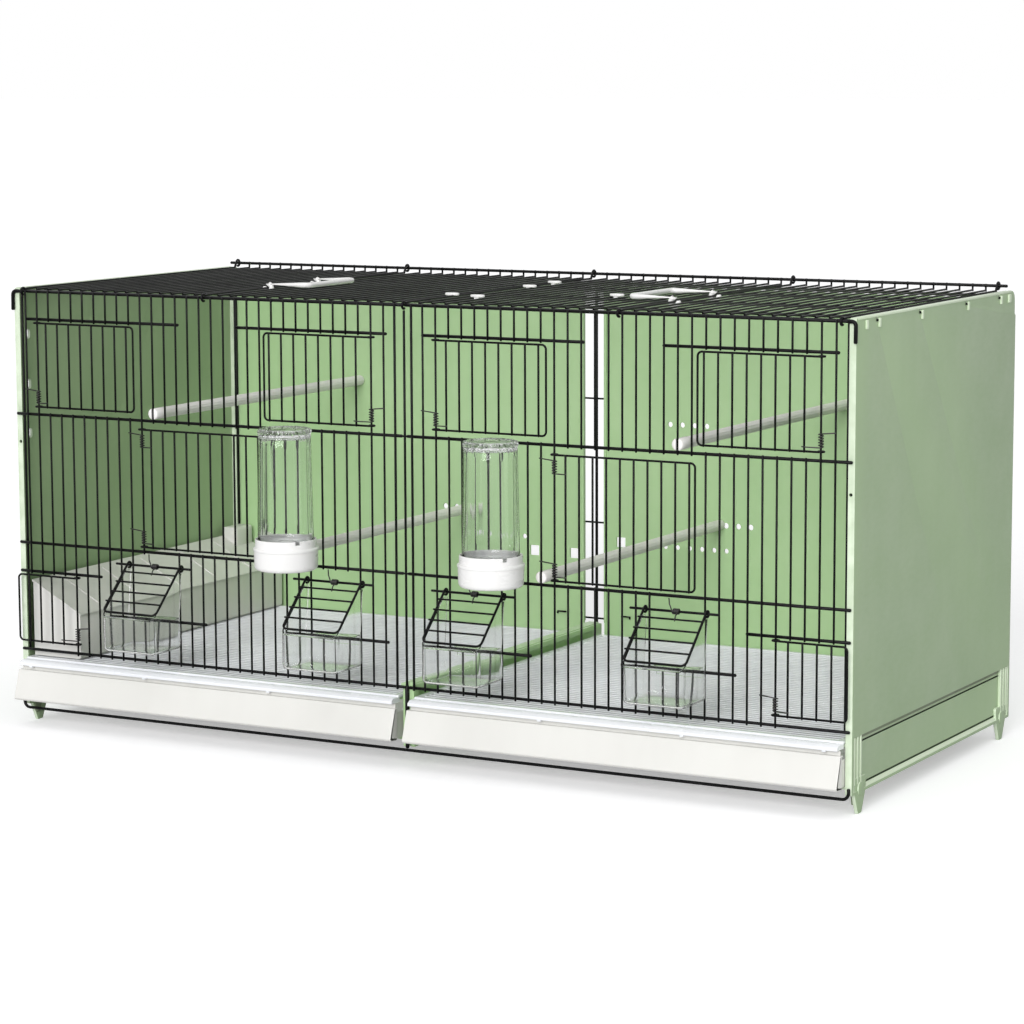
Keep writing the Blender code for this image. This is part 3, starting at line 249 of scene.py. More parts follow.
def noise(tree, scale, detail=3.0, stretch=None):
    """Noise on the piece's own coordinates, which are metres; stretch scales each axis."""
    place = add(tree, "TexCoord").outputs["Object"]
    if stretch is not None:
        place = add(tree, "Mapping", {"Vector": place, "Scale": stretch}).outputs[0]
    return add(tree, "TexNoise", {"Vector": place, "Scale": scale, "Detail": detail}).outputs[0]


def shader_group(name, inputs, output, sort):
    """An empty shader group with one output, and that output's socket."""
    tree, given, out = node_group(name, "ShaderNodeTree", inputs, [(output, sort)])
    return tree, given, out[output]


def colour_drift_group():
    """Colour that drifts slowly between two near tones, with faint flow streaks upwards."""
    inputs = [("Tone", "Color", WHITE), ("Second Tone", "Color", WHITE), ("Patch Scale", "Float", 9.0)]
    tree, given, out = shader_group("colour_drift", inputs, "Color", "Color")
    patches = noise(tree, given["Patch Scale"], 2.0)
    streaks = noise(tree, 40.0, 2.0, (1.0, 1.0, 0.06))
    factor = map_range(tree, weighted(tree, (patches, 0.7), (streaks, 0.3)), 0.36, 0.64)
    tree.links.new(mix_colour(tree, factor, given["Tone"], given["Second Tone"]), out)
    return tree


def dust_and_highlight_film_group():
    """A film on whatever faces one way, broken by noise: real dust on most finishes, and on the sage
    plastics a painted highlight for the light on faces up and to the front.
    """
    inputs = [
        ("Color", "Color", WHITE), ("Film Color", "Color", (0.6, 0.6, 0.55, 1)),
        ("Amount", "Float", 0.2), ("Direction", "Vector", UP),
    ]
    tree, given, out = shader_group("dust_and_highlight_film", inputs, "Color", "Color")
    feeds = {0: add(tree, "NewGeometry").outputs["Normal"], 1: given["Direction"]}
    towards = add(tree, "VectorMath", feeds, {"operation": "DOT_PRODUCT"}).outputs["Value"]
    facing = map_range(tree, towards, 0.3, 1.0, kind="SMOOTHSTEP")
    specks = map_range(tree, noise(tree, 60.0, 5.0), 0.35, 0.75, 0.6, 1.0)
    factor = math_node(tree, "MULTIPLY", math_node(tree, "MULTIPLY", facing, specks), given["Amount"])
    tree.links.new(mix_colour(tree, factor, given["Color"], given["Film Color"]), out)
    return tree


def surface_wear_group():
    """Roughness that varies from handled and rubbed places to dull ones, with fine scratches."""
    inputs = [("Smooth", "Float", 0.3), ("Dull", "Float", 0.5), ("Scratch Scale", "Float", SCRATCH_SCALE)]
    tree, given, out = shader_group("surface_wear", inputs, "Roughness", "Float")
    rubbed = noise(tree, 22.0, 4.0)
    scratches = noise(tree, given["Scratch Scale"], 2.0, (0.05, 0.4, 1.0))
    both = weighted(tree, (rubbed, 0.65), (scratches, 0.35))
    tree.links.new(map_range(tree, both, 0.35, 0.65, given["Smooth"], given["Dull"]), out)
    return tree


def moulding_grain_group():
    """The spark texture of a mould under a slow waviness, as a height in millimetres."""
    inputs = [("Grain Scale", "Float", 900.0), ("Grain", "Float", 0.02), ("Wave", "Float", 0.1)]
    tree, given, out = shader_group("moulding_grain", inputs, "Height", "Float")
    fine = noise(tree, given["Grain Scale"], 2.0), given["Grain"]
    slow = noise(tree, 14.0, 1.0), given["Wave"]
    tree.links.new(weighted(tree, fine, slow), out)
    return tree


COLOUR_DRIFT = colour_drift_group()
DUST_AND_HIGHLIGHT_FILM = dust_and_highlight_film_group()
SURFACE_WEAR = surface_wear_group()
MOULDING_GRAIN = moulding_grain_group()


def place_group(tree, group, feeds):
    return add(tree, "Group", feeds, {"node_tree": group}).outputs[0]


def surfaced(name, roughness, grain, plain_values):
    """A material whose roughness wears and whose surface has the grain of its mould."""
    made = bpy.data.materials.new(name)
    made.use_nodes = True
    tree = made.node_tree
    shader = tree.nodes["Principled BSDF"]
    wear = {"Smooth": roughness[0], "Dull": roughness[1], "Scratch Scale": SCRATCH_SCALE}
    tree.links.new(place_group(tree, SURFACE_WEAR, wear), shader.inputs["Roughness"])
    scale, fine, wave = grain
    height = place_group(tree, MOULDING_GRAIN, {"Grain Scale": scale, "Grain": fine, "Wave": wave})
    bump = add(tree, "Bump", {"Height": height, "Strength": 1.0, "Distance": MILLIMETRE})
    tree.links.new(bump.outputs[0], shader.inputs["Normal"])
    for socket, value in plain_values.items():
        shader.inputs[socket].default_value = value
    return made


def opaque(name, tone, second, films, roughness, grain, **plain_values):
    """An opaque finish of two near tones under its films, each (colour, amount, direction)."""
    plain_values = {key.replace("_", " "): value for key, value in plain_values.items()}
    made = surfaced(name, roughness, grain, plain_values)
    tree = made.node_tree
    feeds = {"Tone": (*tone, 1), "Second Tone": (*second, 1), "Patch Scale": 9.0}
    colour = place_group(tree, COLOUR_DRIFT, feeds)
    # Each film is real dust, or on the sage plastics a painted highlight on faces up and to the front.
    for film, amount, direction in films:
        feeds = {"Color": colour, "Film Color": (*film, 1), "Amount": amount, "Direction": direction}
        colour = place_group(tree, DUST_AND_HIGHLIGHT_FILM, feeds)
    tree.links.new(colour, tree.nodes["Principled BSDF"].inputs["Base Color"])
    return made


def clear(name, tint, roughness, grain, ior):
    values = {"Base Color": (*tint, 1), "Transmission Weight": 1.0, "IOR": ior, "Metallic": 0.0}
    return surfaced(name, roughness, grain, values)


# Painted highlight: a pale sage laid on faces that point up or to the front, for the light that falls on
# them.
PAINTED_HIGHLIGHT = (0.68, 0.77, 0.61)
SAGE_GRAIN = (1100.0, 0.012, 0.10)
SAGE_COAT = {"Coat_Weight": 0.10, "Coat_Roughness": 0.3}
# The sage plastic of the back panels and the centre rail, with painted highlights on its faces up and to
# the front.
SAGE = opaque(
    "sage_moulded_plastic", (0.36, 0.56, 0.262), (0.39, 0.585, 0.288),
    ((PAINTED_HIGHLIGHT, 0.75, UP), (PAINTED_HIGHLIGHT, 0.15, FRONT)), (0.32, 0.46), SAGE_GRAIN, **SAGE_COAT,
)
# A darker copy of the sage plastic for the side panels: the shade on their sides is painted into the tone,
# and faces up and to the front carry painted highlights in full.
SHADED_PANEL_SAGE = opaque(
    "sage_side_panel_painted_shade", (0.275, 0.385, 0.212), (0.300, 0.410, 0.232),
    ((PAINTED_HIGHLIGHT, 0.95, UP), (PAINTED_HIGHLIGHT, 1.0, FRONT)), (0.32, 0.46), SAGE_GRAIN, **SAGE_COAT,
)
# A paler sage for the side panel's rim, tabs, bottom strip and foot ribs: painted highlight where these
# edges catch the light.
HIGHLIGHT_SAGE = opaque(
    "sage_painted_highlight", (0.54, 0.64, 0.46), (0.58, 0.68, 0.50), ((PAINTED_HIGHLIGHT, 0.5, UP),), (0.30, 0.44),
    SAGE_GRAIN, **SAGE_COAT,
)
# A dark sage standing in for shade: painted shade in the groove under each side panel's step and on the
# foot's prongs.
SHADE_SAGE = opaque(
    "sage_painted_shade", (0.13, 0.165, 0.095), (0.16, 0.20, 0.12), ((PAINTED_HIGHLIGHT, 0.1, UP),), (0.45, 0.6),
    SAGE_GRAIN,
)
BLACK_WIRE = opaque(
    "black_coated_wire", (0.002, 0.002, 0.0022), (0.005, 0.005, 0.0055), (((0.03, 0.03, 0.03), 0.25, UP),),
    (0.30, 0.46), (1500.0, 0.010, 0.0), Specular_IOR_Level=0.12,
)
SPRING_STEEL = opaque(
    "blued_spring_steel", (0.030, 0.029, 0.030), (0.055, 0.052, 0.052), (((0.12, 0.11, 0.10), 0.2, UP),),
    (0.24, 0.4), (2200.0, 0.006, 0.0), Metallic=0.8,
)
WHITE_FITTING = opaque(
    "white_fitting_plastic", (0.77, 0.765, 0.755), (0.81, 0.805, 0.795), (((0.70, 0.69, 0.65), 0.15, UP),),
    (0.22, 0.36), (1300.0, 0.008, 0.05), Coat_Weight=0.1,
)
TRAY = opaque(
    "cream_tray_plastic", (0.64, 0.635, 0.605), (0.68, 0.675, 0.645), (((0.64, 0.62, 0.56), 0.15, UP),),
    (0.28, 0.42), (1000.0, 0.010, 0.08), Coat_Weight=0.08,
)
PERCH = opaque(
    "perch_plastic", (0.76, 0.745, 0.72), (0.82, 0.805, 0.785), (((0.58, 0.55, 0.49), 0.22, UP),),
    (0.42, 0.58), (800.0, 0.022, 0.05),
)
GRID = opaque(
    "grid_plastic", (0.74, 0.755, 0.79), (0.80, 0.815, 0.84), (((0.62, 0.61, 0.57), 0.12, UP),),
    (0.16, 0.34), (1200.0, 0.008, 0.06), Coat_Weight=0.3, Coat_Roughness=0.15,
)
BOTTLE = clear("bottle_clear_plastic", (0.98, 0.99, 0.985), (0.01, 0.06), (700.0, 0.004, 0.10), 1.34)
FEEDER = clear("feeder_clear_plastic", (0.98, 0.985, 0.98), (0.02, 0.08), (700.0, 0.004, 0.08), 1.3)


def shape(tree, kind, feeds=None, settings=None):
    """The first output of a new geometry node."""
    return add(tree, kind, feeds, settings, "GeometryNode").outputs[0]


def shape_group(name, *inputs):
    """An empty shape tree, which takes a shape and its finish besides the inputs given."""
    inputs = [("Geometry", "Geometry", None), *inputs, ("Finish", "Material", None)]
    return node_group(name, "GeometryNodeTree", inputs, [("Geometry", "Geometry")])


def end_tree(tree, made, given, out, smooth=True):
    """The end of every shape tree: smooth or flat, with real faces and its finish."""
    if smooth:
        made = shape(tree, "SetShadeSmooth", {"Geometry": made})
    made = shape(tree, "RealizeInstances", {"Geometry": made})
    made = shape(tree, "SetMaterial", {"Geometry": made, "Material": given["Finish"]})
    tree.links.new(made, out["Geometry"])
    return tree


def tube(tree, sides, radius, **feeds):
    """A capped tube of so many sides along a curve."""
    ring = shape(tree, "CurvePrimitiveCircle", {"Resolution": sides, "Radius": radius})
    return shape(tree, "CurveToMesh", {"Profile Curve": ring, "Fill Caps": True, **feeds})


def round_wire_tree():
    """Tubes along every curve, as thick as the curve's own radius."""
    tree, given, out = shape_group("round_wire", ("Sides", "Int", 10))
    made = tube(tree, given["Sides"], 1.0, Curve=given["Geometry"], Scale=shape(tree, "InputRadius"))
    return end_tree(tree, made, given, out)


def wire_row_tree():
    """Parallel straight wires, set side by side at an even step."""
    tree, given, out = shape_group(
        "wire_row", ("Count", "Int", 2), ("Start", "Vector", (0, 0, 0)), ("End", "Vector", (0, 1, 0)),
        ("Step", "Vector", (0.01, 0, 0)), ("Radius", "Float", 0.001), ("Sides", "Int", 8),
    )
    line = shape(tree, "CurvePrimitiveLine", {"Start": given["Start"], "End": given["End"]})
    wire = tube(tree, given["Sides"], given["Radius"], Curve=line)
    places = shape(tree, "MeshLine", {"Count": given["Count"], "Offset": given["Step"]})
    row = shape(tree, "InstanceOnPoints", {"Points": places, "Instance": wire})
    return end_tree(tree, row, given, out)


def hole_row_tree():
    """A row of like holes punched through a sheet along Y."""
    tree, given, out = shape_group(
        "hole_row", ("Count", "Int", 3), ("Start", "Vector", (0, 0, 0)), ("Step", "Vector", (1, 0, 0)),
        ("Radius", "Float", 0.003), ("Sides", "Int", 16), ("Turn", "Float", 0.0),
    )
    feeds = {"Vertices": given["Sides"], "Radius": given["Radius"], "Depth": 0.02}
    punch = shape(tree, "MeshCylinder", feeds)
    turn = add(tree, "CombineXYZ", {0: math.radians(90), 1: given["Turn"]}).outputs[0]
    punch = shape(tree, "Transform", {"Geometry": punch, "Rotation": turn})
    feeds = {"Count": given["Count"], "Start Location": given["Start"], "Offset": given["Step"]}
    row = shape(tree, "InstanceOnPoints", {"Points": shape(tree, "MeshLine", feeds), "Instance": punch})
    feeds = {"Mesh 1": given["Geometry"], "Mesh 2": shape(tree, "RealizeInstances", {"Geometry": row})}
    sheet = shape(tree, "MeshBoolean", feeds, {"operation": "DIFFERENCE"})
    return end_tree(tree, sheet, given, out, smooth=False)


def fluted_tree():
    """Flutes round Z on a turned shape, which fade in between two heights."""
    tree, given, out = shape_group(
        "fluted", ("Flutes", "Float", 24.0), ("Depth", "Float", 0.0003), ("Fade Start", "Float", 0.0),
        ("Fade End", "Float", 0.01),
    )
    place = add(tree, "SeparateXYZ", {0: shape(tree, "InputPosition")}).outputs
    angle = math_node(tree, "ARCTAN2", place["Y"], place["X"])
    wave = math_node(tree, "COSINE", math_node(tree, "MULTIPLY", angle, given["Flutes"]))
    fade = map_range(tree, place["Z"], given["Fade Start"], given["Fade End"], kind="SMOOTHSTEP")
    depth = math_node(tree, "MULTIPLY", math_node(tree, "MULTIPLY", wave, fade), given["Depth"])
    outwards = add(tree, "CombineXYZ", {0: place["X"], 1: place["Y"]}).outputs[0]
    unit = add(tree, "VectorMath", {0: outwards}, {"operation": "NORMALIZE"}).outputs[0]
    move = add(tree, "VectorMath", {0: unit, "Scale": depth}, {"operation": "SCALE"}).outputs[0]
    made = shape(tree, "SetPosition", {"Geometry": given["Geometry"], "Offset": move})
    return end_tree(tree, made, given, out)


ROUND_WIRE = round_wire_tree()
WIRE_ROW = wire_row_tree()
HOLE_ROW = hole_row_tree()
FLUTED = fluted_tree()


def plain(obj):
    """The object's evaluated shape as a plain mesh object in its place."""
    bpy.context.view_layer.update()
    graph = bpy.context.evaluated_depsgraph_get()
    mesh = bpy.data.meshes.new_from_object(obj.evaluated_get(graph), depsgraph=graph)
    name = obj.name
    bpy.data.objects.remove(obj, do_unlink=True)
    return working(name, mesh)


def shaped(obj, tree, values):
    """Runs a shape tree with its named inputs on an object."""
    step = obj.modifiers.new(tree.name, "NODES")
    step.node_group = tree
    for item in tree.interface.items_tree:
        if item.in_out == "INPUT" and item.name in values:
            step[item.identifier] = values[item.name]
    return plain(obj)


def rounded_ends(radius, points):
    """A run's points with their radii, each end drawn in over a short stretch."""
    places = [Vector(point) for point in points]
    first = (places[1] - places[0]).normalized() * radius * 0.5
    last = (places[-2] - places[-1]).normalized() * radius * 0.5
    run = [(places[0], radius * 0.62), (places[0] + first, radius)]
    run += [(place, radius) for place in places[1:-1]]
    return run + [(places[-1] + last, radius), (places[-1], radius * 0.62)]


def wires(runs, finish, sides=10):
    """Round wires, each a (radius, points) run, in one mesh."""
    curve = bpy.data.curves.new("wires", "CURVE")
    curve.dimensions = "3D"
    for radius, points in runs:
        run = rounded_ends(radius, points)
        spline = curve.splines.new("POLY")
        spline.points.add(len(run) - 1)
        for point, (place, thickness) in zip(spline.points, run):
            point.co = (*place, 1)
            point.radius = thickness
    return shaped(working("wires", curve), ROUND_WIRE, {"Sides": sides, "Finish": finish})


def level(radius, low_x, high_x, y, z):
    """The run of a straight wire along X."""
    return radius, ((low_x, y, z), (high_x, y, z))


def upright(radius, x, y, low, high):
    """The run of a straight wire along Z."""
    return radius, ((x, y, low), (x, y, high))


def wire_row(count, start, end, step, radius, finish, sides=8):
    host = working("row", bpy.data.meshes.new("row"))
    values = {"Count": count, "Start": start, "End": end, "Step": step}
    values.update({"Radius": radius, "Sides": sides, "Finish": finish})
    return shaped(host, WIRE_ROW, values)


def from_bmesh(made, name):
    """A finished mesh as an object."""
    mesh = bpy.data.meshes.new(name)
    made.to_mesh(mesh)
    made.free()
    return working(name, mesh)


def gathered(parts):
    """One mesh object of several, which are used up."""
    together = bmesh.new()
    finishes = []
    for part in parts:
        slots = list(part.data.materials)
        finishes += [slot for slot in slots if slot not in finishes]
        for face in part.data.polygons:
            if slots:
                face.material_index = finishes.index(slots[min(face.material_index, len(slots) - 1)])
        together.from_mesh(part.data)
        bpy.data.objects.remove(part, do_unlink=True)
    whole = from_bmesh(together, "gathered")
    for finish in finishes:
        whole.data.materials.append(finish)
    return whole


def piece(obj, name, body, slot, *replaced):
    """The finished piece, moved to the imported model's place, riding on its body."""
    placed(obj, name, slot, *replaced)
    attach(obj, body)


def cage_wires(runs, name, *replaced):
    """A piece of black wires that stay with the cage."""
    piece(wires(runs, BLACK_WIRE, 12), name, "cage", "black_wire", *replaced)


def placed(obj, name, slot, *replaced):
    obj.data.transform(Matrix.Translation((0, ORIGIN_Y, 0)))
    obj.name = name
    obj.data.name = name
    if replaced:
        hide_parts(*replaced)


def arc(centre, radius, start, end, steps):
    """Points (u, v) along an arc between two angles in degrees."""
    points = []
    for i in range(steps + 1):
        angle = math.radians(start + (end - start) * i / steps)
        points.append((centre[0] + radius * math.cos(angle), centre[1] + radius * math.sin(angle)))
    return points


def rounded(corners, steps=5):
    """An outline whose corners, each (u, v, radius), are rounded off."""
    outline = []
    for i, (u, v, radius) in enumerate(corners):
        corner = Vector((u, v))
        before = (Vector(corners[i - 1][:2]) - corner).normalized()
        after = (Vector(corners[(i + 1) % len(corners)][:2]) - corner).normalized()
        if radius == 0:
            outline.append((u, v))
            continue
        half = before.angle(after) / 2
        reach = radius / math.tan(half)
        start = corner + before * reach
        end = corner + after * reach
        for j in range(steps + 1):
            t = j / steps
            bend = start * (1 - t) ** 2 + corner * 2 * t * (1 - t) + end * t ** 2
            outline.append(tuple(bend))
    return outline


def slab(outline, low, high, axis="X"):
    """A flat outline given thickness: (y, z) along X, (x, z) along Y or (x, y) along Z."""
    order = {"X": (2, 0, 1), "Y": (0, 2, 1), "Z": (0, 1, 2)}[axis]
    made = bmesh.new()
    sides = []
    for depth in (low, high):
        corners = [(u, v, depth) for u, v in outline]
        sides.append([made.verts.new([corner[i] for i in order]) for corner in corners])
    made.faces.new(sides[0])
    made.faces.new(reversed(sides[1]))
    for i in range(len(outline)):
        made.faces.new((sides[0][i - 1], sides[1][i - 1], sides[1][i], sides[0][i]))
    bmesh.ops.recalc_face_normals(made, faces=made.faces)
    return from_bmesh(made, "slab")


def block(low, high, radius=0.0):
    """A block between two corners, its upright edges rounded where a radius is given."""
    left, front, right, back = low[0], low[1], high[0], high[1]
    corners = [(left, front, radius), (right, front, radius), (right, back, radius), (left, back, radius)]
    return slab(rounded(corners), low[2], high[2], "Z")


def cut(base, *tools):
    """The shape with the tools taken away, which are used up."""
    for tool in tools:
        step = base.modifiers.new("cut", "BOOLEAN")
        step.operation = "DIFFERENCE"
        step.object = tool
    result = plain(base)
    for tool in tools:
        bpy.data.objects.remove(tool, do_unlink=True)
    return result


def finished(obj, finish, sharp=20):
    """The shape in its one finish, smooth but for edges sharper than an angle in degrees."""
    obj.data.materials.clear()
    obj.data.materials.append(finish)
    obj.data.shade_smooth()
    obj.data.set_sharp_from_angle(angle=math.radians(sharp))
    return obj


def softened(obj, width, finish, segments=2):
    """The shape with its sharp edges rounded, ready to show."""
    edge = obj.modifiers.new("rounding", "BEVEL")
    edge.width = width
    edge.segments = segments
    edge.limit_method = "ANGLE"
    edge.angle_limit = math.radians(32)
    return finished(plain(obj), finish)


def soft_block(low, high, width, finish, radius=0.0, segments=2):
    return softened(block(low, high, radius), width, finish, segments)


def soft_slab(corners, low, high, axis, width, finish, segments=2):
    """A slab of an outline whose corners are (u, v, radius), with soft edges."""
    return softened(slab(rounded(corners), low, high, axis), width, finish, segments)


def fluted(obj, flutes, depth, fade_start, fade_end, finish):
    values = {"Flutes": flutes, "Depth": depth, "Fade Start": fade_start, "Fade End": fade_end}
    return shaped(obj, FLUTED, {**values, "Finish": finish})


def mirrored(obj, side):
    """The right-hand shape, or its mirror image for the left."""
    if side < 0:
        obj.data.transform(Matrix.Scale(-1, 4, (1, 0, 0)))
        obj.data.flip_normals()
    return obj


def turned(profile, steps=64):
    """A solid of revolution about Z; a profile that starts off the axis closes on itself."""
    made = bmesh.new()
    rings = []
    for radius, z in profile:
        if radius == 0:
            rings.append([made.verts.new((0, 0, z))])
            continue
        angles = [2 * math.pi * i / steps for i in range(steps)]
        rings.append([made.verts.new((radius * math.cos(a), radius * math.sin(a), z)) for a in angles])
    pairs = list(zip(rings, rings[1:]))
    if profile[0][0] > 0:
        pairs.append((rings[-1], rings[0]))
    for upper, lower in pairs:
        for i in range(steps):
            if len(upper) == 1:
                corners = (upper[0], lower[i], lower[i - 1])
            elif len(lower) == 1:
                corners = (upper[i - 1], upper[i], lower[0])
            else:
                corners = (upper[i - 1], upper[i], lower[i], lower[i - 1])
            made.faces.new(corners)
    bmesh.ops.recalc_face_normals(made, faces=made.faces)
    return from_bmesh(made, "turned")


def moved(obj, *offset):
    obj.data.transform(Matrix.Translation(offset))
    return obj


def bar_x(side, number):
    """Where a bar stands; side is -1 for the left grille and 1 for the right one."""
    start = CENTRE_GAP / 2 if side > 0 else -FRAME_X
    return start + END_GAP + (number - 1) * BAR_PITCH


def feeder_bars(side):
    return LEFT_FEEDER_BARS if side < 0 else RIGHT_FEEDER_BARS


def grille_cuts(side):
    """The openings, as (first bar, last bar, bottom, top)."""
    cuts = [
        (3, 10, UPPER_RAIL_Z, DOOR_RAIL_Z), (22, 29, UPPER_RAIL_Z, DOOR_RAIL_Z),
        (12, 21, MIDDLE_RAIL_Z, UPPER_RAIL_Z),
    ]
    cuts += [(bar - 1, bar + 1, FEEDER_RAIL_Z, MIDDLE_RAIL_Z) for bar in feeder_bars(side)]
    corner = (1, 4) if side < 0 else (28, 31)
    cuts.append((*corner, FLOOR_RAIL_Z, CORNER_RAIL_Z))
    return cuts


def standing_stretches(bar, cuts):
    """The (bottom, top) stretches of one bar that the openings leave."""
    bottom = FLOOR_RAIL_Z - OVERSHOOT
    stretches = []
    for first, last, low, high in sorted(cuts, key=lambda opening: opening[2]):
        if first <= bar <= last:
            stretches.append((bottom, low + OVERSHOOT))
            bottom = high - OVERSHOOT
    stretches.append((bottom, TOP_RAIL_Z + RAIL_R))
    return [(low, high) for low, high in stretches if high - low > LEAST_STUB]


def front_grille(side, word):
    """Upright bars welded to rails, the end wire behind the panel's lip, and the flaps' rods."""
    past_outer = side * FRAME_X + side * 0.003
    runs = []
    for x, y in ((CENTRE_GAP / 2, 0), END_WIRE):
        runs.append(upright(ROD_R, side * x, y, FLOOR_RAIL_Z - OVERSHOOT, TOP_RAIL_Z + RAIL_R))
    pin_x, pin_z = side * PIN_HOLE[0], PIN_HOLE[1]
    runs.append((ROD_R, ((pin_x, LIP_Y + 0.0006, pin_z), (pin_x, LIP_Y + 0.006, pin_z))))
    cuts = grille_cuts(side)
    for bar in range(1, BAR_COUNT + 1):
        x = bar_x(side, bar)
        runs += [upright(BAR_R, x, 0, low, high) for low, high in standing_stretches(bar, cuts)]
    bend_x = OUTER_X - 0.0035
    leg = [(side * (bend_x - 0.004), RAIL_Y, TOP_RAIL_Z)]
    bend = arc((bend_x, TOP_RAIL_Z - LEG_BEND), LEG_BEND, 90, 0, 6)
    leg += [(side * u, RAIL_Y, v) for u, v in bend]
    leg.append((side * (bend_x + LEG_BEND), RAIL_Y - 0.0003, TOP_RAIL_Z - 0.019))
    runs.append((LEG_R, leg))
    rails = [(side * GAP, side * bend_x, TOP_RAIL_Z)]
    rails += [(side * RAIL_END_X, past_outer, z) for z in CROSS_RAILS_Z]
    for first, last in ((1, 14 if side < 0 else 13), (19, 31)):
        rails.append((bar_x(side, first) - OVERSHOOT, bar_x(side, last) + OVERSHOOT, DOOR_RAIL_Z))
    corner_end = bar_x(side, 7 if side < 0 else 25) - side * OVERSHOOT
    rails.append((corner_end, past_outer, CORNER_RAIL_Z))
    for bar in feeder_bars(side):
        rails.append((bar_x(side, bar - 4) - OVERSHOOT, bar_x(side, bar + 4) + OVERSHOOT, FEEDER_RAIL_Z))
        runs.append(level(ROD_R, bar_x(side, bar - 3.38), bar_x(side, bar + 3.1), ROD_Y, FLAP_ROD_Z))
    runs += [level(RAIL_R, low, high, RAIL_Y, z) for low, high, z in rails]
    cage_wires(runs, f"front_grille_{word}_wires", f"front_grille_{word}")


def door(name, side, hinge_bar, turn, z_range, bars, reach):
    """One bent wire with an eye at each hinge end, and the door's own bars welded before it."""
    low, high = z_range
    bend = 0.0042
    eye = arc((0, 0), EYE_R, -360, -90, 14)
    loop = [(x, y, low) for x, y in eye]
    corners = arc((reach - bend, low + bend), bend, -90, 0, 6)
    corners += arc((reach - bend, high - bend), bend, 0, 90, 6)
    loop += [(x, DOOR_LOOP_Y, z) for x, z in corners]
    loop += [(x, y, high) for x, y in reversed(eye)]
    runs = [(BAR_R, [(turn * x, y, z) for x, y, z in loop])]
    for bar in range(1, bars + 1):
        runs.append(upright(BAR_R, turn * bar * BAR_PITCH, DOOR_BAR_Y, low - BAR_R, high + BAR_R))
    made = moved(wires(runs, BLACK_WIRE, 12), bar_x(side, hinge_bar), 0, 0)
    piece(made, f"{name}_wires", name, "black_wire", name)


def coil_spring(name, side, hinge_bar, turn, z, turns=5):
    """A close-wound spring on the hinge bar, one arm before the next bar and one on the door."""
    x0 = bar_x(side, hinge_bar)
    coil_z = z + SPRING_R
    height = SPRING_COIL_HEIGHT - SPRING_R
    top = coil_z + height
    points = [(-BAR_PITCH - BAR_R, -SPRING_COIL_R, top + 0.0016), (-0.003, -SPRING_COIL_R, top + 0.0004)]
    steps = turns * COIL_STEPS
    for i in range(steps + 1):
        angle = math.radians(-90 + 360 * i / COIL_STEPS)
        rise = top - height * i / steps
        points.append((SPRING_COIL_R * math.cos(angle), SPRING_COIL_R * math.sin(angle), rise))
    before_bar = DOOR_BAR_Y - BAR_R - GAP - SPRING_R
    points.append((BAR_PITCH - 0.001, before_bar, coil_z + 0.0006))
    points.append((BAR_PITCH + 0.0018, before_bar, coil_z + 0.0008))
    made = wires([(SPRING_R, [(turn * x, y, place_z) for x, y, place_z in points])], SPRING_STEEL, 8)
    moved(made, x0, 0, 0)
    placed(made, f"{name}_coil", "spring_steel", name)
    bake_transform(made)


def on_flap(along, above):
    """The (y, z) point of a closed flap, seen from its rod."""
    slope = math.atan2(FLAP_FALL, FLAP_REACH)
    y = -along * math.cos(slope) - above * math.sin(slope)
    return y, -along * math.sin(slope) + above * math.cos(slope)


def flap(number, side, bar):
    """A wire ladder whose two eyes turn on the rod, and the small spring that shuts it."""
    name = f"feeder_flap_{number}"
    length = math.hypot(FLAP_REACH, FLAP_FALL)
    slope = math.degrees(math.atan2(FLAP_FALL, FLAP_REACH))
    x0 = bar_x(side, bar)
    half = [(-FLAP_HALF, y, z) for y, z in arc((0, 0), FLAP_EYE_R, 90 + slope - 270, 90 + slope, 12)]
    corner = 0.005
    for x, along in arc((0, 0), corner, 180, 270, 5):
        y, z = on_flap(length - corner - along, FLAP_EYE_R)
        half.append((-FLAP_HALF + corner + x, y, z))
    runs = [(BAR_R * 1.15, half + [(-x, y, z) for x, y, z in reversed(half)])]
    rungs = 4
    rung_x = FLAP_HALF + 2 * BAR_R
    for i in range(rungs):
        y, z = on_flap(length * (i + 1) / (rungs + 1), FLAP_EYE_R + 2 * BAR_R - WELD)
        runs.append(level(BAR_R * 0.9, -rung_x, rung_x, y, z))
    made = moved(wires(runs, BLACK_WIRE, 12), x0, ROD_Y, FLAP_ROD_Z)
    piece(made, f"{name}_wires", name, "black_wire", name)
    flap_spring(number, x0)


def flap_spring(number, x0, turns=6):
    """A spring wound on the flap's rod, one arm up before the bars and one on the flap."""
    coil_r = 0.00225
    half = 0.003
    steps = turns * COIL_STEPS
    rest = [(-half - 0.0045, 0.0006, 0.0116), (-half - 0.0030, -0.0014, 0.0066)]
    for i in range(steps + 1):
        angle = math.radians(180 + 360 * i / COIL_STEPS)
        rest.append((-half + 2 * half * i / steps, coil_r * math.cos(angle), coil_r * math.sin(angle)))
    above = FLAP_EYE_R + 2 * BAR_R
    rest.append((half + 0.0008, *on_flap(0.0085, above + GAP)))
    rest.append((half + 0.0022, *on_flap(0.0145, above + SPRING_R)))
    name = f"feeder_flap_spring_{number}"
    made = moved(wires([(SPRING_R, rest)], SPRING_STEEL, 8), x0, ROD_Y, FLAP_ROD_Z)
    placed(made, f"{name}_coil", "spring_steel", name)
    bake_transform(made)


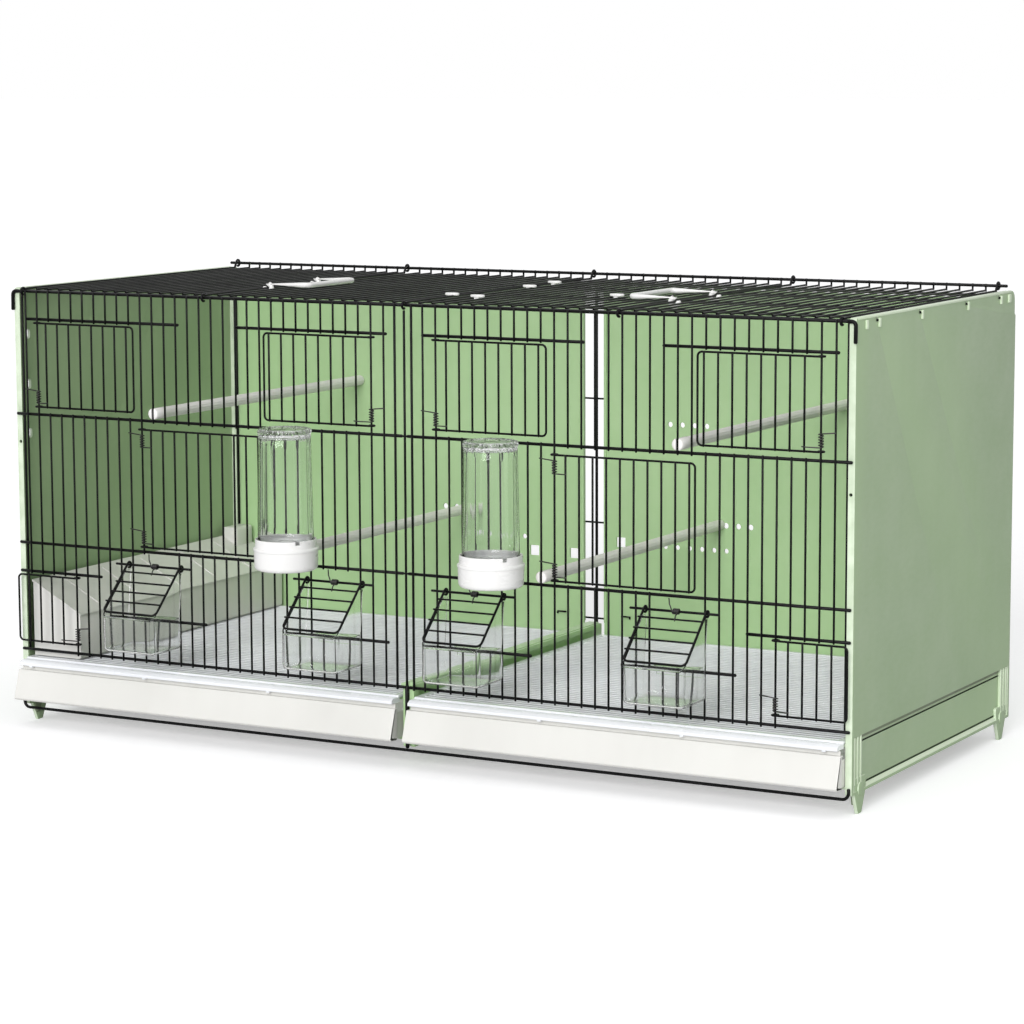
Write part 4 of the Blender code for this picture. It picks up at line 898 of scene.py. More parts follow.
def feeder(number, side, bar):
    """A clear seed box: a thin shell with rounded edges, hung over its rail."""
    half, front, bottom = FEEDER_HALF, FEEDER_FRONT_Y, FEEDER_BOTTOM_Z
    back = -(BAR_R + GAP)
    under = FLAP_EYE_R - BAR_R - GAP
    top_y, top_z = on_flap(0.008, under)
    edge_y, edge_z = on_flap(math.hypot(FLAP_REACH, FLAP_FALL) - BAR_R, under)
    front_z = min(FEEDER_RAIL_Z + 0.010, FLAP_ROD_Z + edge_z)
    lip_z = FEEDER_RAIL_Z + OVERSHOOT + GAP
    cheek = [
        (back, bottom), (back, lip_z), (back, FLAP_ROD_Z + top_z), (ROD_Y + top_y, FLAP_ROD_Z + top_z),
        (ROD_Y + edge_y, FLAP_ROD_Z + edge_z), (front, front_z), (front, bottom),
    ]
    made = bmesh.new()
    left, right = ([made.verts.new((x, y, z)) for y, z in cheek] for x in (-half, half))
    made.faces.new(left)
    made.faces.new(list(reversed(right)))
    for i, j in ((5, 6), (6, 0), (0, 1)):
        made.faces.new((left[i], right[i], right[j], left[j]))
    bmesh.ops.recalc_face_normals(made, faces=made.faces)
    outward = next(face for face in made.faces if abs(face.normal.z) > 0.9)
    if outward.normal.z > 0:
        bmesh.ops.reverse_faces(made, faces=made.faces)
    edges = [edge for edge in made.edges if len(edge.link_faces) == 2]
    bmesh.ops.bevel(made, geom=edges, offset=0.005, segments=6, affect="EDGES", profile=0.5)
    flats = [face for face in made.faces if face.calc_area() > 0.0004]
    bmesh.ops.inset_individual(made, faces=flats, thickness=0.0004)
    shell = from_bmesh(made, "feeder")
    wall = shell.modifiers.new("wall", "SOLIDIFY")
    wall.thickness = 0.0013
    wall.offset = -1
    shell = softened(plain(shell), 0.00035, FEEDER)
    rim = wires([level(0.0009, -half + 0.003, half - 0.003, front + 0.0007, front_z - 0.0009)], FEEDER)
    hook_start = back - 0.0012
    hook_back = RAIL_Y + RAIL_R + GAP
    hook_end = lip_z - 0.008
    outline = [
        (hook_start, lip_z + GAP), (hook_back, lip_z + GAP), (hook_back, hook_end),
        (hook_back + 0.0013, hook_end), (hook_back + 0.0013, lip_z + 0.0016), (hook_start, lip_z + 0.0016),
    ]
    hook = softened(slab(outline, -0.022, 0.022), 0.0003, FEEDER)
    whole = moved(gathered([shell, rim, hook]), bar_x(side, bar), 0, 0)
    piece(whole, f"feeder_{number}_shell", "cage", "clear_plastic", f"feeder_{number}")


def drinker(side, word):
    """A fluted bottle upside down in a white cup whose spout reaches between two bars."""
    wall = 0.0016
    lip = 0.0008
    rim_z = CUP_TOP_Z + 0.008
    inner_r = COLLAR_R - wall
    seat_r = 0.0203
    profile = [
        (0, CUP_BOTTOM_Z + wall), (CUP_R - 0.006, CUP_BOTTOM_Z + wall),
        (CUP_R - wall - 0.001, CUP_BOTTOM_Z + 0.0045), (CUP_R - wall, CUP_TOP_Z - wall),
        (seat_r, CUP_TOP_Z - wall), (seat_r, CUP_TOP_Z), (inner_r, CUP_TOP_Z),
        (inner_r, rim_z - lip / 2), (inner_r + lip / 2, rim_z), (COLLAR_R - lip / 2, rim_z),
        (COLLAR_R, rim_z - lip), (COLLAR_R, CUP_TOP_Z + 0.0006), (COLLAR_R + 0.0005, CUP_TOP_Z),
        (CUP_R - 0.0007, CUP_TOP_Z), (CUP_R, CUP_TOP_Z - 0.0008), (CUP_R - 0.0001, CUP_TOP_Z - 0.0026),
        (CUP_R - 0.0006, CUP_TOP_Z - 0.0034),
        *arc((CUP_R - 0.0052, CUP_BOTTOM_Z + 0.0042), 0.0042, 0, -90, 6),
        (0, CUP_BOTTOM_Z),
    ]
    cup = turned(profile, 72)
    low = (COLLAR_R - 0.004, -0.0022, CUP_TOP_Z + 0.0045)
    notch = block(low, (COLLAR_R + 0.002, 0.0022, CUP_TOP_Z + 0.01))
    notch.data.transform(Matrix.Rotation(math.radians(-35), 4, "Z"))
    cup = softened(cut(cup, notch), 0.00025, WHITE_FITTING)
    half, start, end = 0.0048, CUP_R - 0.0045, 0.014 - CUP_Y
    spout_z = MIDDLE_RAIL_Z + RAIL_R + GAP
    spout = block((-half, start, spout_z), (half, end, spout_z + 0.010), 0.0012)
    low = (wall - half, CUP_R - 0.006, spout_z + wall)
    channel = block(low, (half - wall, end - wall, spout_z + 0.02))
    spout = softened(cut(spout, channel), 0.0004, WHITE_FITTING)
    low, high = (-half, start, spout_z + 0.0084), (half, 0.004 - CUP_Y, spout_z + 0.0116)
    roof = soft_block(low, high, 0.0004, WHITE_FITTING, 0.001)
    x = side * DRINKER_X
    whole = moved(gathered([cup, spout, roof]), x, CUP_Y, 0)
    piece(whole, f"drinker_cup_{word}_moulding", "cage", "white_fittings", f"drinker_cup_{word}")
    bottle(x, word)


def bottle(x, word):
    """A thin-walled bottle, closed at the top, whose neck stands down into the cup."""
    wall = 0.0011
    seat = CUP_TOP_Z + GAP
    rim = BOTTLE_TOP_Z - 0.0058
    body_top = rim - 0.004
    heights = [body_top - i * (body_top - seat - 0.006) / 12 for i in range(13)]
    taper = BOTTLE_R - BOTTLE_TOP_R + 0.0004
    body = [(taper * ((z - seat) / (rim - seat)), z) for z in heights]
    outer = [
        (0, BOTTLE_TOP_Z - 0.0012), (0.010, BOTTLE_TOP_Z - 0.0010), (0.019, BOTTLE_TOP_Z - 0.0002),
        (0.0215, BOTTLE_TOP_Z), *arc((BOTTLE_TOP_R - 0.0030, BOTTLE_TOP_Z - 0.0030), 0.0030, 80, -20, 6),
        (BOTTLE_TOP_R - 0.0009, rim), (BOTTLE_TOP_R - 0.0006, rim - 0.0015),
        *((BOTTLE_R - inset, z) for inset, z in body), (BOTTLE_R, seat + 0.003),
        (BOTTLE_R - wall, seat + 0.0003), (NECK_R, seat), (NECK_R, seat - 0.0155),
    ]
    inner = [
        (NECK_R - wall, seat - 0.0155), (NECK_R - wall, seat + wall), (BOTTLE_R - 2 * wall, seat + 0.0035),
        *((BOTTLE_R - wall - inset, z) for inset, z in reversed(body)),
        (BOTTLE_TOP_R - 0.0030, rim - 0.001), (BOTTLE_TOP_R - 0.007, rim + 0.0018), (0, rim + 0.0022),
    ]
    shell = turned(outer + inner, 144)
    shell = fluted(shell, 18.0, 0.00022, seat + 0.004, seat + 0.03, BOTTLE)
    shell = fluted(shell, 36.0, 0.00055, rim - 0.0035, rim + 0.0005, BOTTLE)
    whole = moved(shell, x, CUP_Y, 0)
    piece(whole, f"drinker_bottle_{word}_shell", "cage", "clear_plastic", f"drinker_bottle_{word}")


def perch(name, x, rail_z):
    """A ribbed rod with a slotted tip that straddles a bar and rests on its rail."""
    length = BACK_Y - GAP - BAR_R - GAP
    ribbed_r = PERCH_R - 0.0003
    profile = [(0, length), (PERCH_R - 0.0008, length), (ribbed_r, length - 0.0006)]
    profile += [(ribbed_r, length - 0.002 - i * (length - 0.02) / 8) for i in range(9)]
    profile += [(PERCH_R - 0.0002, 0.0165), (PERCH_R, 0.0155), (PERCH_R, -0.0018)]
    profile += [(PERCH_R - 0.0007, -0.0025), (0, -0.0025)]
    rod = fluted(turned(profile, 48), 12.0, 0.00022, 0.016, 0.020, PERCH)
    rod.data.transform(Matrix.Rotation(math.radians(-90), 4, "X"))
    slot = block((-BAR_R - 0.0004, -0.02, -PAST), (BAR_R + 0.0004, -0.0002, PAST))
    rod = finished(cut(rod, slot), PERCH, 50)
    made = moved(rod, x, BAR_R + GAP, rail_z + RAIL_R + GAP + PERCH_R)
    piece(made, f"{name}_rod", "cage", "perch_plastic", name)


def panel_foot(end, y_edge):
    """The foot at one end of a side panel, with the ribs above it and the prong beside it."""
    rib_inner = OUTER_X - 0.0045
    parts = []
    for i in range(3):
        start = y_edge - end * (0.006 + i * 0.007)
        low, high = sorted((start, start - end * 0.003))
        rib_low, rib_high = (rib_inner, low, 0.027), (OUTER_X - 0.0002, high, STEP_Z + 0.001)
        # Each rib in the paler sage of painted highlight.
        parts.append(soft_block(rib_low, rib_high, 0.0006, HIGHLIGHT_SAGE))
    near = y_edge - end * 0.006
    far = near - end * 0.029
    middle = (near + far) / 2
    corners = [
        (near, 0.033, 0.003), (far, 0.033, 0.003), (far + end * 0.002, PANEL_BOTTOM_Z, 0.004),
        (middle - end * 0.004, 0, 0.0012), (middle + end * 0.004, 0, 0.0012),
        (near - end * 0.002, PANEL_BOTTOM_Z, 0.004),
    ]
    parts.append(soft_slab(corners, rib_inner + GAP, OUTER_X - 0.0005, "X", 0.0008, SHADED_PANEL_SAGE, 3))
    boss = slab(arc((middle, 0.0225), 0.0062, 0, 345, 23), rib_inner, OUTER_X + 0.0006)
    parts.append(softened(boss, 0.0008, SHADED_PANEL_SAGE, 3))
    # The prong in the dark sage of painted shade, for the shadow it sits in.
    low, high = sorted((near - end * 0.004, near - end * 0.016))
    prong_x = PANEL_INNER_X + 0.0005
    top, bottom = PANEL_BOTTOM_Z + 0.0012, 0.008
    corners = [(low, top, 0), (high, top, 0), (high - 0.003, bottom, 0.002), (low + 0.003, bottom, 0.002)]
    parts.append(soft_slab(corners, prong_x, prong_x + 0.003, "X", 0.0008, SHADE_SAGE))
    return parts


def panel_wall():
    """The bare wall, and what cuts it: its lip's hollows, the foot band, the seam and the pin hole."""
    back = PANEL_BACK_Y
    inner, outer = THROUGH_X
    corners = [
        (LIP_Y, PANEL_BOTTOM_Z, 0.0015), (back, PANEL_BOTTOM_Z, 0.0015), (back, 0.412, 0.001),
        (back - 0.0025, 0.4145, 0.001), (back - 0.0025, PANEL_TOP_Z, 0.011), (LIP_Y, PANEL_TOP_Z, 0.0035),
    ]
    wall = slab(rounded(corners, 6), PANEL_INNER_X, OUTER_X)
    lip = 0.0025
    front, low, top = LIP_Y + lip, STEP_Z + lip, PANEL_TOP_Z - lip
    corners = [
        (front, low, 0.001), (back - lip - 0.0025, low, 0.001), (back - lip - 0.0025, top, 0.0085),
        (front, top, 0.002),
    ]
    tools = [
        slab(rounded(corners, 6), inner, OUTER_X - 0.003),
        block(
            (inner, front + 0.001, PANEL_BOTTOM_Z + lip),
            (OUTER_X - 0.006, back - lip - 0.0035, STEP_Z + 2 * lip),
        ),
        block((OUTER_X - 0.003, LIP_Y + 0.004, PANEL_BOTTOM_Z + lip), (outer, back - 0.004, STEP_Z)),
        block((OUTER_X - 0.0052, LIP_Y + 0.004, STEP_Z - 0.0035), (outer, back - 0.004, STEP_Z)),
        slab(arc(PIN_HOLE, 0.0016, 0, 345, 23), LIP_Y - PAST, LIP_Y + 0.0035, "Y"),
    ]
    return wall, tools


def side_panel(side, word):
    """A moulded wall with feet, tabs, edge strips and ledges, and the rail ends in its holes."""
    back = PANEL_BACK_Y
    inner, outer = THROUGH_X
    wall, tools = panel_wall()
    for z in LEFT_SLOTS_Z if side < 0 else ():
        outline = arc((0.021, z + 0.002), 0.003, 0, 180, 8) + arc((0.021, z - 0.002), 0.003, 180, 360, 8)
        tools.append(slab(outline, inner, outer))
    ends = []
    for y in TOP_RAIL_Y[1:5]:
        tools.append(block((inner, y - 0.0019, 0.4302), (outer, y + 0.0019, 0.4356)))
        ends.append(level(ROD_R, PANEL_INNER_X + 0.001, OUTER_X + 0.0012, y, 0.4318))
    # The wall in the darker sage, whose tone paints in the side panels' shade.
    parts = [softened(cut(wall, *tools), 0.0007, SHADED_PANEL_SAGE, 3)]
    for end, y_edge in ((-1, LIP_Y), (1, back)):
        parts += panel_foot(end, y_edge)
    low, high = TAB_Z
    for y, half in PANEL_TABS:
        near, far = y - half, y + half
        corners = [(near, low, 0.0011), (far, low, 0.0011), (far, high, 0.0008), (near, high, 0.0008)]
        # The tabs in the paler sage of painted highlight.
        parts.append(soft_slab(corners, OUTER_X - 0.001, OUTER_X + 0.0016, "X", 0.0008, HIGHLIGHT_SAGE, 3))
    # The rim in the paler sage of painted highlight.
    rim_low = (OUTER_X - 0.0028, LIP_Y + 0.003, PANEL_TOP_Z - 0.002)
    rim_high = (OUTER_X + 0.0006, back - 0.013, PANEL_TOP_Z + 0.0004)
    parts.append(soft_block(rim_low, rim_high, 0.0010, HIGHLIGHT_SAGE, segments=3))
    # The bottom strip in the paler sage of painted highlight.
    strip_x = OUTER_X - 0.0062
    corners = [
        (strip_x, PANEL_BOTTOM_Z + 0.0005, 0), (OUTER_X - 0.0003, PANEL_BOTTOM_Z + 0.0022, 0.0004),
        (OUTER_X - 0.0029, PANEL_BOTTOM_Z + 0.0052, 0.0004), (strip_x, PANEL_BOTTOM_Z + 0.0052, 0),
    ]
    parts.append(soft_slab(corners, LIP_Y + 0.0035, back - 0.0035, "Y", 0.0004, HIGHLIGHT_SAGE))
    # A dark strip in the groove under the step: painted shade.
    shade_strip_low = (OUTER_X - 0.0056, LIP_Y + 0.009, STEP_Z - 0.0038)
    shade_strip_high = (OUTER_X - 0.0027, back - 0.008, STEP_Z + 0.0002)
    parts.append(soft_block(shade_strip_low, shade_strip_high, 0.0002, SHADE_SAGE))
    for y in (0.3802, 0.3858):
        rib_high = (OUTER_X - 0.0012, y + 0.0025, PANEL_TOP_Z - 0.0012)
        parts.append(soft_block((0.440, y, STEP_Z + 0.0012), rib_high, 0.0005, SHADED_PANEL_SAGE))
    for top in LEDGE_TOPS:
        ledge_low = (PANEL_INNER_X - 0.009, LIP_Y + 0.00125, top - LEDGE_THICKNESS)
        parts.append(soft_block(ledge_low, (0.4455, 0.378, top), 0.0005, SHADED_PANEL_SAGE))
    piece(mirrored(wires(ends, BLACK_WIRE, 8), side), f"roof_rail_ends_{word}", "cage", "black_wire")
    made = mirrored(gathered(parts), side)
    piece(made, f"side_panel_{word}_moulding", "cage", "green_panel", f"side_panel_{word}")


def back_panel(side, word):
    """A sheet with a rolled edge at the middle gap and the punched holes of its fittings."""
    edge_x, top = 0.0116, 0.429
    sheet = block((edge_x, BACK_Y, 0.058), (0.443715, BACK_Y + 0.0025, top), 0.0008)
    for x, z, count, radius, corners, turn in LEFT_HOLES if side < 0 else RIGHT_HOLES:
        values = {"Count": count, "Start": (x, BACK_Y, z), "Step": (BAR_PITCH, 0, 0), "Radius": radius}
        values.update({"Sides": corners, "Turn": math.radians(turn), "Finish": SAGE})
        sheet = shaped(sheet, HOLE_ROW, values)
    parts = [softened(sheet, 0.0003, SAGE)]
    for y in (BACK_Y - 0.0012, BACK_Y + 0.0012):
        low, high = (edge_x, y, 0.0795), (edge_x + 0.003, y + 0.0025, top)
        parts.append(soft_block(low, high, 0.0006, SAGE, 0.0006))
    made = mirrored(gathered(parts), side)
    piece(made, f"back_panel_{word}_sheet", "cage", "green_panel", f"back_panel_{word}")


def centre_rail():
    """The rail between the rooms: a rounded cap on a web, ledges and a ribbed riser."""
    front, back, riser_top = 0.0045, 0.3827, 0.0752
    parts = [
        soft_block((-0.008, front, 0.074), (0.008, back, 0.079), 0.0014, SAGE, 0.001, 3),
        soft_block((-0.0058, front + 0.002, 0.0785), (0.0058, back, 0.0799), 0.0005, SAGE, 0.001),
        soft_block((-0.0025, front + GAP, 0.0245), (0.0025, 0.3955, 0.0765), 0.0004, SAGE),
    ]
    for x in (-0.0042, 0.0042):
        low, high = (x - 0.0018, front + 0.0002, PANEL_BOTTOM_Z), (x + 0.0018, front + 0.010, riser_top)
        parts.append(soft_block(low, high, 0.0005, SAGE, 0.0008))
    low, high = (-0.0055, front + 0.003, PANEL_BOTTOM_Z), (0.0055, front + 0.010, riser_top)
    parts.append(soft_block(low, high, 0.0004, SAGE))
    for top in LEDGE_TOPS:
        low = (-0.017, front + 0.005, top - LEDGE_THICKNESS)
        parts.append(soft_block(low, (0.017, 0.3802, top), 0.0005, SAGE))
    piece(gathered(parts), "centre_rail_moulding", "cage", "green_panel", "centre_rail")


def centre_wires():
    """The post between the grilles, the wire with ticks behind it, and small wires at the back."""
    bottom = TIE_Z + RAIL_R + GAP
    top = TOP_RAIL_Z - HOOK_RING_R - HOOK_R - GAP
    runs = [upright(LOWER_POST_R, 0, RAIL_Y, bottom, FLOOR_RAIL_Z + 0.002)]
    runs.append(upright(POST_R, 0, RAIL_Y, FLOOR_RAIL_Z, top))
    runs += [level(0.0011, -0.0021, 0.0021, RAIL_Y, z) for z in CROSS_RAILS_Z]
    cage_wires(runs, "centre_post_wire", "centre_post")
    tick_y = BACK_Y + 0.0025 + GAP + BAR_R
    runs = [upright(RAIL_R, 0, tick_y + BAR_R + RAIL_R - WELD, *REAR_WIRE_Z)]
    runs += [level(BAR_R, -0.016, 0.016, tick_y, z) for z in (0.083, MIDDLE_RAIL_Z, UPPER_RAIL_Z)]
    cage_wires(runs, "rear_wire_round", "rear_wire")
    y, z = BACK_Y - 0.0014, 0.088
    runs = [upright(ROD_R, -0.4385, BACK_Y - 0.0016, *REAR_WIRE_Z)]
    for side in (-1, 1):
        runs.append((BAR_R, ((side * 0.032, y, z), (side * 0.042, y, z), (side * 0.042, y, z - 0.0025))))
    cage_wires(runs, "back_wires")


def tie_wire():
    """The long wire that joins the feet, turned up at both ends."""
    end = FRAME_X + 0.0025
    bend = 0.006
    half = [(x, RAIL_Y, z) for x, z in arc((end - bend, TIE_Z + bend), bend, -90, 0, 6)]
    half.append((end, RAIL_Y, TIE_Z + bend + 0.004))
    points = [(-x, y, z) for x, y, z in reversed(half)] + half
    cage_wires([(RAIL_R, points)], "tie_wire_round", "tie_wire")


def ring_end(y, z, end):
    """The open ring at one end of a hook wire, round a wire at y; end is -1 at the front."""
    return [(y - end * u, z + v) for u, v in arc((0, 0), HOOK_RING_R, 40, 300, 14)]


def top_grille():
    """Close-set wires on six cross rails, the rear one raised on stubs, and five hook wires."""
    parts = []
    front, back = TOP_RAIL_Y[0] - OVERSHOOT, BACK_Y + OVERSHOOT
    stub_low, stub_high = TOP_WIRE_Z - BAR_R, REAR_RAIL_Z + RAIL_R
    for side in (-1, 1):
        for near, far in zip(TOP_HOOK_X, TOP_HOOK_X[1:]):
            step = (far - near) / (TOP_WIRES_BETWEEN + 1)
            x = side * (near + step)
            wire = (x, front, TOP_WIRE_Z), (x, back, TOP_WIRE_Z)
            stub = (x, back, stub_low), (x, back, stub_high)
            for ends in (wire, stub):
                parts.append(wire_row(TOP_WIRES_BETWEEN, *ends, (side * step, 0, 0), BAR_R, BLACK_WIRE))
    runs = []
    for x in sorted({side * x for x in TOP_HOOK_X for side in (-1, 1)}):
        path = list(reversed(ring_end(RAIL_Y, TOP_RAIL_Z, -1)))
        path += [(y, HOOK_WIRE_Z) for y in (RAIL_Y + 2 * HOOK_RING_R, BACK_Y - 2 * HOOK_RING_R)]
        path += ring_end(BACK_Y, REAR_RAIL_Z, 1)
        runs.append((HOOK_R, [(x, y, z) for y, z in path]))
    end = OUTER_X - 0.003
    for y in TOP_RAIL_Y:
        runs.append(level(RAIL_R, -end, end, y, REAR_RAIL_Z if y == BACK_Y else TOP_RAIL_Z))
    parts.append(wires(runs, BLACK_WIRE, 12))
    piece(gathered(parts), "top_grille_wires", "cage", "black_wire", "top_grille")


def roof_clips():
    """Flat oval clips that snap on the roof wires."""
    parts = []
    for x, y in CLIP_PLACES:
        outline = [(u * 1.6, v) for u, v in arc((0, 0), 0.0046, 0, 345, 23)]
        pad = slab(outline, TOP_WIRE_Z + 0.0008, TOP_WIRE_Z + 0.0032, "Z")
        pad = softened(pad, 0.0009, WHITE_FITTING, 3)
        low, high = (-0.0022, -0.0035, TOP_WIRE_Z - 0.0018), (0.0022, 0.0035, TOP_WIRE_Z + 0.0012)
        grip = soft_block(low, high, 0.0005, WHITE_FITTING, 0.0008)
        parts.append(moved(gathered([pad, grip]), x, y, 0))
    piece(gathered(parts), "roof_clips", "cage", "white_fittings")


def handle(side, word):
    """A bail of round plastic rod lying on the roof, its eyes turning on a hook wire."""
    front, back = 0.115, 0.202
    half = (back - front) / 2
    corner = 0.007
    reach = 0.046
    eye_r = 0.0039
    points = [(x, -half, z) for x, z in arc((0, 0), eye_r, -200, 90, 14)]
    points += [(x, y, eye_r) for x, y in arc((reach - corner, -half + corner), corner, -90, 0, 6)]
    points += [(x, -y, z) for x, y, z in reversed(points)]
    rod = wires([(HANDLE_R, [(-side * x, y, z) for x, y, z in points])], WHITE_FITTING, 16)
    made = moved(rod, side * TOP_HOOK_X[1], (front + back) / 2, HOOK_WIRE_Z)
    piece(made, f"handle_{word}_bail", f"handle_{word}", "white_fittings", f"handle_{word}")


def drawer(side, word):
    """A tray with a thin wall and, in front, a leaning fascia with a turned-back top edge."""
    inner, outer = BAY_X
    tray = block((inner, -0.007, 0.027), (outer, 0.378, 0.052), 0.002)
    hollow = block((inner + 0.002, -0.005, 0.029), (outer - 0.002, 0.376, 0.06), 0.003)
    parts = [softened(cut(tray, hollow), 0.0005, TRAY)]
    low_x, high_x = 0.0063, FRAME_X - GAP
    corners = [
        (-0.0100, 0.0568, 0.0008), (-0.0190, 0.0290, 0.0012), (-0.0172, 0.0270, 0.0008),
        (-0.0066, 0.0262, 0.0006), (-0.0066, 0.0285, 0.0006), (-0.0155, 0.0298, 0.0012),
        (-0.0082, 0.0550, 0.0008), (-0.0045, 0.0550, 0.0004), (-0.0045, 0.0568, 0.0004),
    ]
    parts.append(softened(slab(rounded(corners, 4), low_x, high_x), 0.0005, TRAY))
    cheek = [(-0.0098, 0.0560), (-0.0186, 0.0290), (-0.0166, 0.0272), (-0.0060, 0.0266), (-0.0060, 0.0560)]
    for low, high in ((low_x, low_x + 0.0018), (high_x - 0.0018, high_x)):
        parts.append(softened(slab(cheek, low, high), 0.0005, TRAY))
    riser_low, riser_high = (low_x + 0.002, -0.0060, 0.0545), (high_x - 0.002, -0.0045, 0.0605)
    parts.append(soft_block(riser_low, riser_high, 0.0004, TRAY))
    made = mirrored(gathered(parts), side)
    piece(made, f"drawer_{word}_tray", f"drawer_{word}", "white_tray", f"drawer_{word}")


def floor_grid(side, word):
    """A moulded rim with a pull ledge and tabs at its front, filled with close-set thin wires."""
    inner, outer = BAY_X
    rim = block((inner, 0, 0.065), (outer, 0.380, GRID_TOP_Z), 0.002)
    middle = block((inner + 0.006, 0.006, 0.05), (outer - 0.006, 0.374, 0.08), 0.002)
    parts = [softened(cut(rim, middle), 0.0008, GRID, 3)]
    corners = [
        (-0.012, 0.0612, 0.0006), (-0.012, 0.0640, 0.0010), (-0.0085, 0.0664, 0.0014),
        (0.003, 0.0665, 0.0004), (0.003, 0.0612, 0.0004),
    ]
    ledge = slab(rounded(corners), inner + GAP, outer - GAP)
    grooves = ((-0.0072, -0.0058), (-0.0018, -0.0006))
    tools = [block((inner - PAST, low, 0.0657), (outer + PAST, high, 0.07)) for low, high in grooves]
    parts.append(softened(cut(ledge, *tools), 0.0004, GRID))
    for x in (0.145, 0.289, 0.426):
        parts.append(soft_block((x, -0.0116, 0.0596), (x + 0.004, -0.0072, 0.0616), 0.0005, GRID, 0.001))
    z = 0.0665
    start, end = (inner + 0.003, 0.012, z), (outer - 0.003, 0.012, z)
    parts.append(wire_row(46, start, end, (0, 0.0079, 0), 0.0009, GRID, 6))
    start, end = (inner + 0.030, 0.003, z - 0.0015), (inner + 0.030, 0.377, z - 0.0015)
    parts.append(wire_row(14, start, end, (0.0287, 0, 0), 0.0010, GRID, 6))
    made = mirrored(gathered(parts), side)
    piece(made, f"floor_grid_{word}_wires", f"floor_grid_{word}", "grid_plastic", f"floor_grid_{word}")


def floor_box():
    """The box along the left wall, with a ridged lid that slopes up to the wall and a block on it."""
    wall_x, inner_x = -0.438515, -0.381515
    bottom, low_top, high_top = GRID_TOP_Z + GAP, 0.113, 0.143
    corners = [
        (wall_x, bottom, 0.001), (inner_x, bottom, 0.003), (inner_x, low_top, 0), (wall_x, high_top, 0),
    ]
    body = slab(rounded(corners), 0.010, 0.378, "Y")
    hollow = block((wall_x + 0.002, 0.012, bottom + 0.002), (inner_x - 0.002, 0.376, 0.2))
    box = softened(cut(body, hollow), 0.0005, TRAY)
    piece(box, "floor_box_moulding", "cage", "white_tray", "floor_box")
    slope = 0.030 / 0.057
    over = 0.002
    edge = inner_x + over
    low = low_top - over * slope
    corners = [
        (wall_x, 0.1433, 0), (edge, low + GAP, 0.0008), (edge, low + 0.0023, 0.0008), (wall_x, 0.1453, 0),
    ]
    parts = [soft_slab(corners, 0.008, 0.380, "Y", 0.0008, TRAY)]
    near, far, top = wall_x + GAP, wall_x + 0.019, 0.1550
    corners = [(near, 0.1438, 0), (far, 0.1340, 0), (far, top, 0.003), (near, top, 0.003)]
    parts.append(soft_slab(corners, 0.348, 0.378, "Y", 0.001, TRAY, 3))
    high_x, low_x = wall_x + 0.006, edge - 0.006
    outline = [(high_x, 0.1423), (low_x, low + 0.0051), (low_x, low + 0.0063), (high_x, 0.1433)]
    for i in range(5):
        y = 0.050 + i * 0.068
        parts.append(softened(slab(outline, y, y + 0.0022, "Y"), 0.0004, TRAY))
    piece(gathered(parts), "floor_box_lid_moulding", "cage", "white_tray", "floor_box_lid")


def doors_and_springs():
    number = 0
    for side in (-1, 1):
        for hinge, turn in ((2, 1), (30, -1)):
            number += 1
            name = f"upper_door_{number}"
            door(name, side, hinge, turn, UPPER_DOOR_Z, 8, 8.5 * BAR_PITCH)
            spring = f"upper_door_spring_{number}"
            coil_spring(spring, side, hinge, turn, UPPER_DOOR_Z[0] + SPRING_RISE)
    for side, word in ((-1, "left"), (1, "right")):
        name = f"middle_door_{word}"
        hinge = MIDDLE_HINGE_BAR
        door(name, side, hinge, 1, MIDDLE_DOOR_Z, 10, 10.35 * BAR_PITCH)
        low = MIDDLE_DOOR_Z[0] + SPRING_RISE
        high = MIDDLE_DOOR_Z[1] - SPRING_RISE - SPRING_COIL_HEIGHT - 0.0024
        coil_spring(f"middle_door_spring_{word}_lower", side, hinge, 1, low)
        coil_spring(f"middle_door_spring_{word}_upper", side, hinge, 1, high)
        hinge = 5 if side < 0 else 27
        name = f"corner_door_{word}"
        reach = abs(side * FRAME_X - bar_x(side, hinge)) + 0.0022
        door(name, side, hinge, side, CORNER_DOOR_Z, 4, reach)
        spring = f"corner_door_spring_{word}"
        coil_spring(spring, side, hinge, side, CORNER_DOOR_Z[0] + SPRING_RISE)


def feeders_and_flaps():
    number = 0
    for side in (-1, 1):
        for bar in feeder_bars(side):
            number += 1
            flap(number, side, bar)
            feeder(number, side, bar)


def aimed(obj, ahead):
    """Turns a lamp so that it shines along a direction."""
    obj.rotation_euler = Vector(ahead).to_track_quat("-Z", "Y").to_euler()


def emptied(owner):
    """The node tree of a material or world, without its first nodes."""
    owner.use_nodes = True
    owner.node_tree.nodes.clear()
    return owner.node_tree


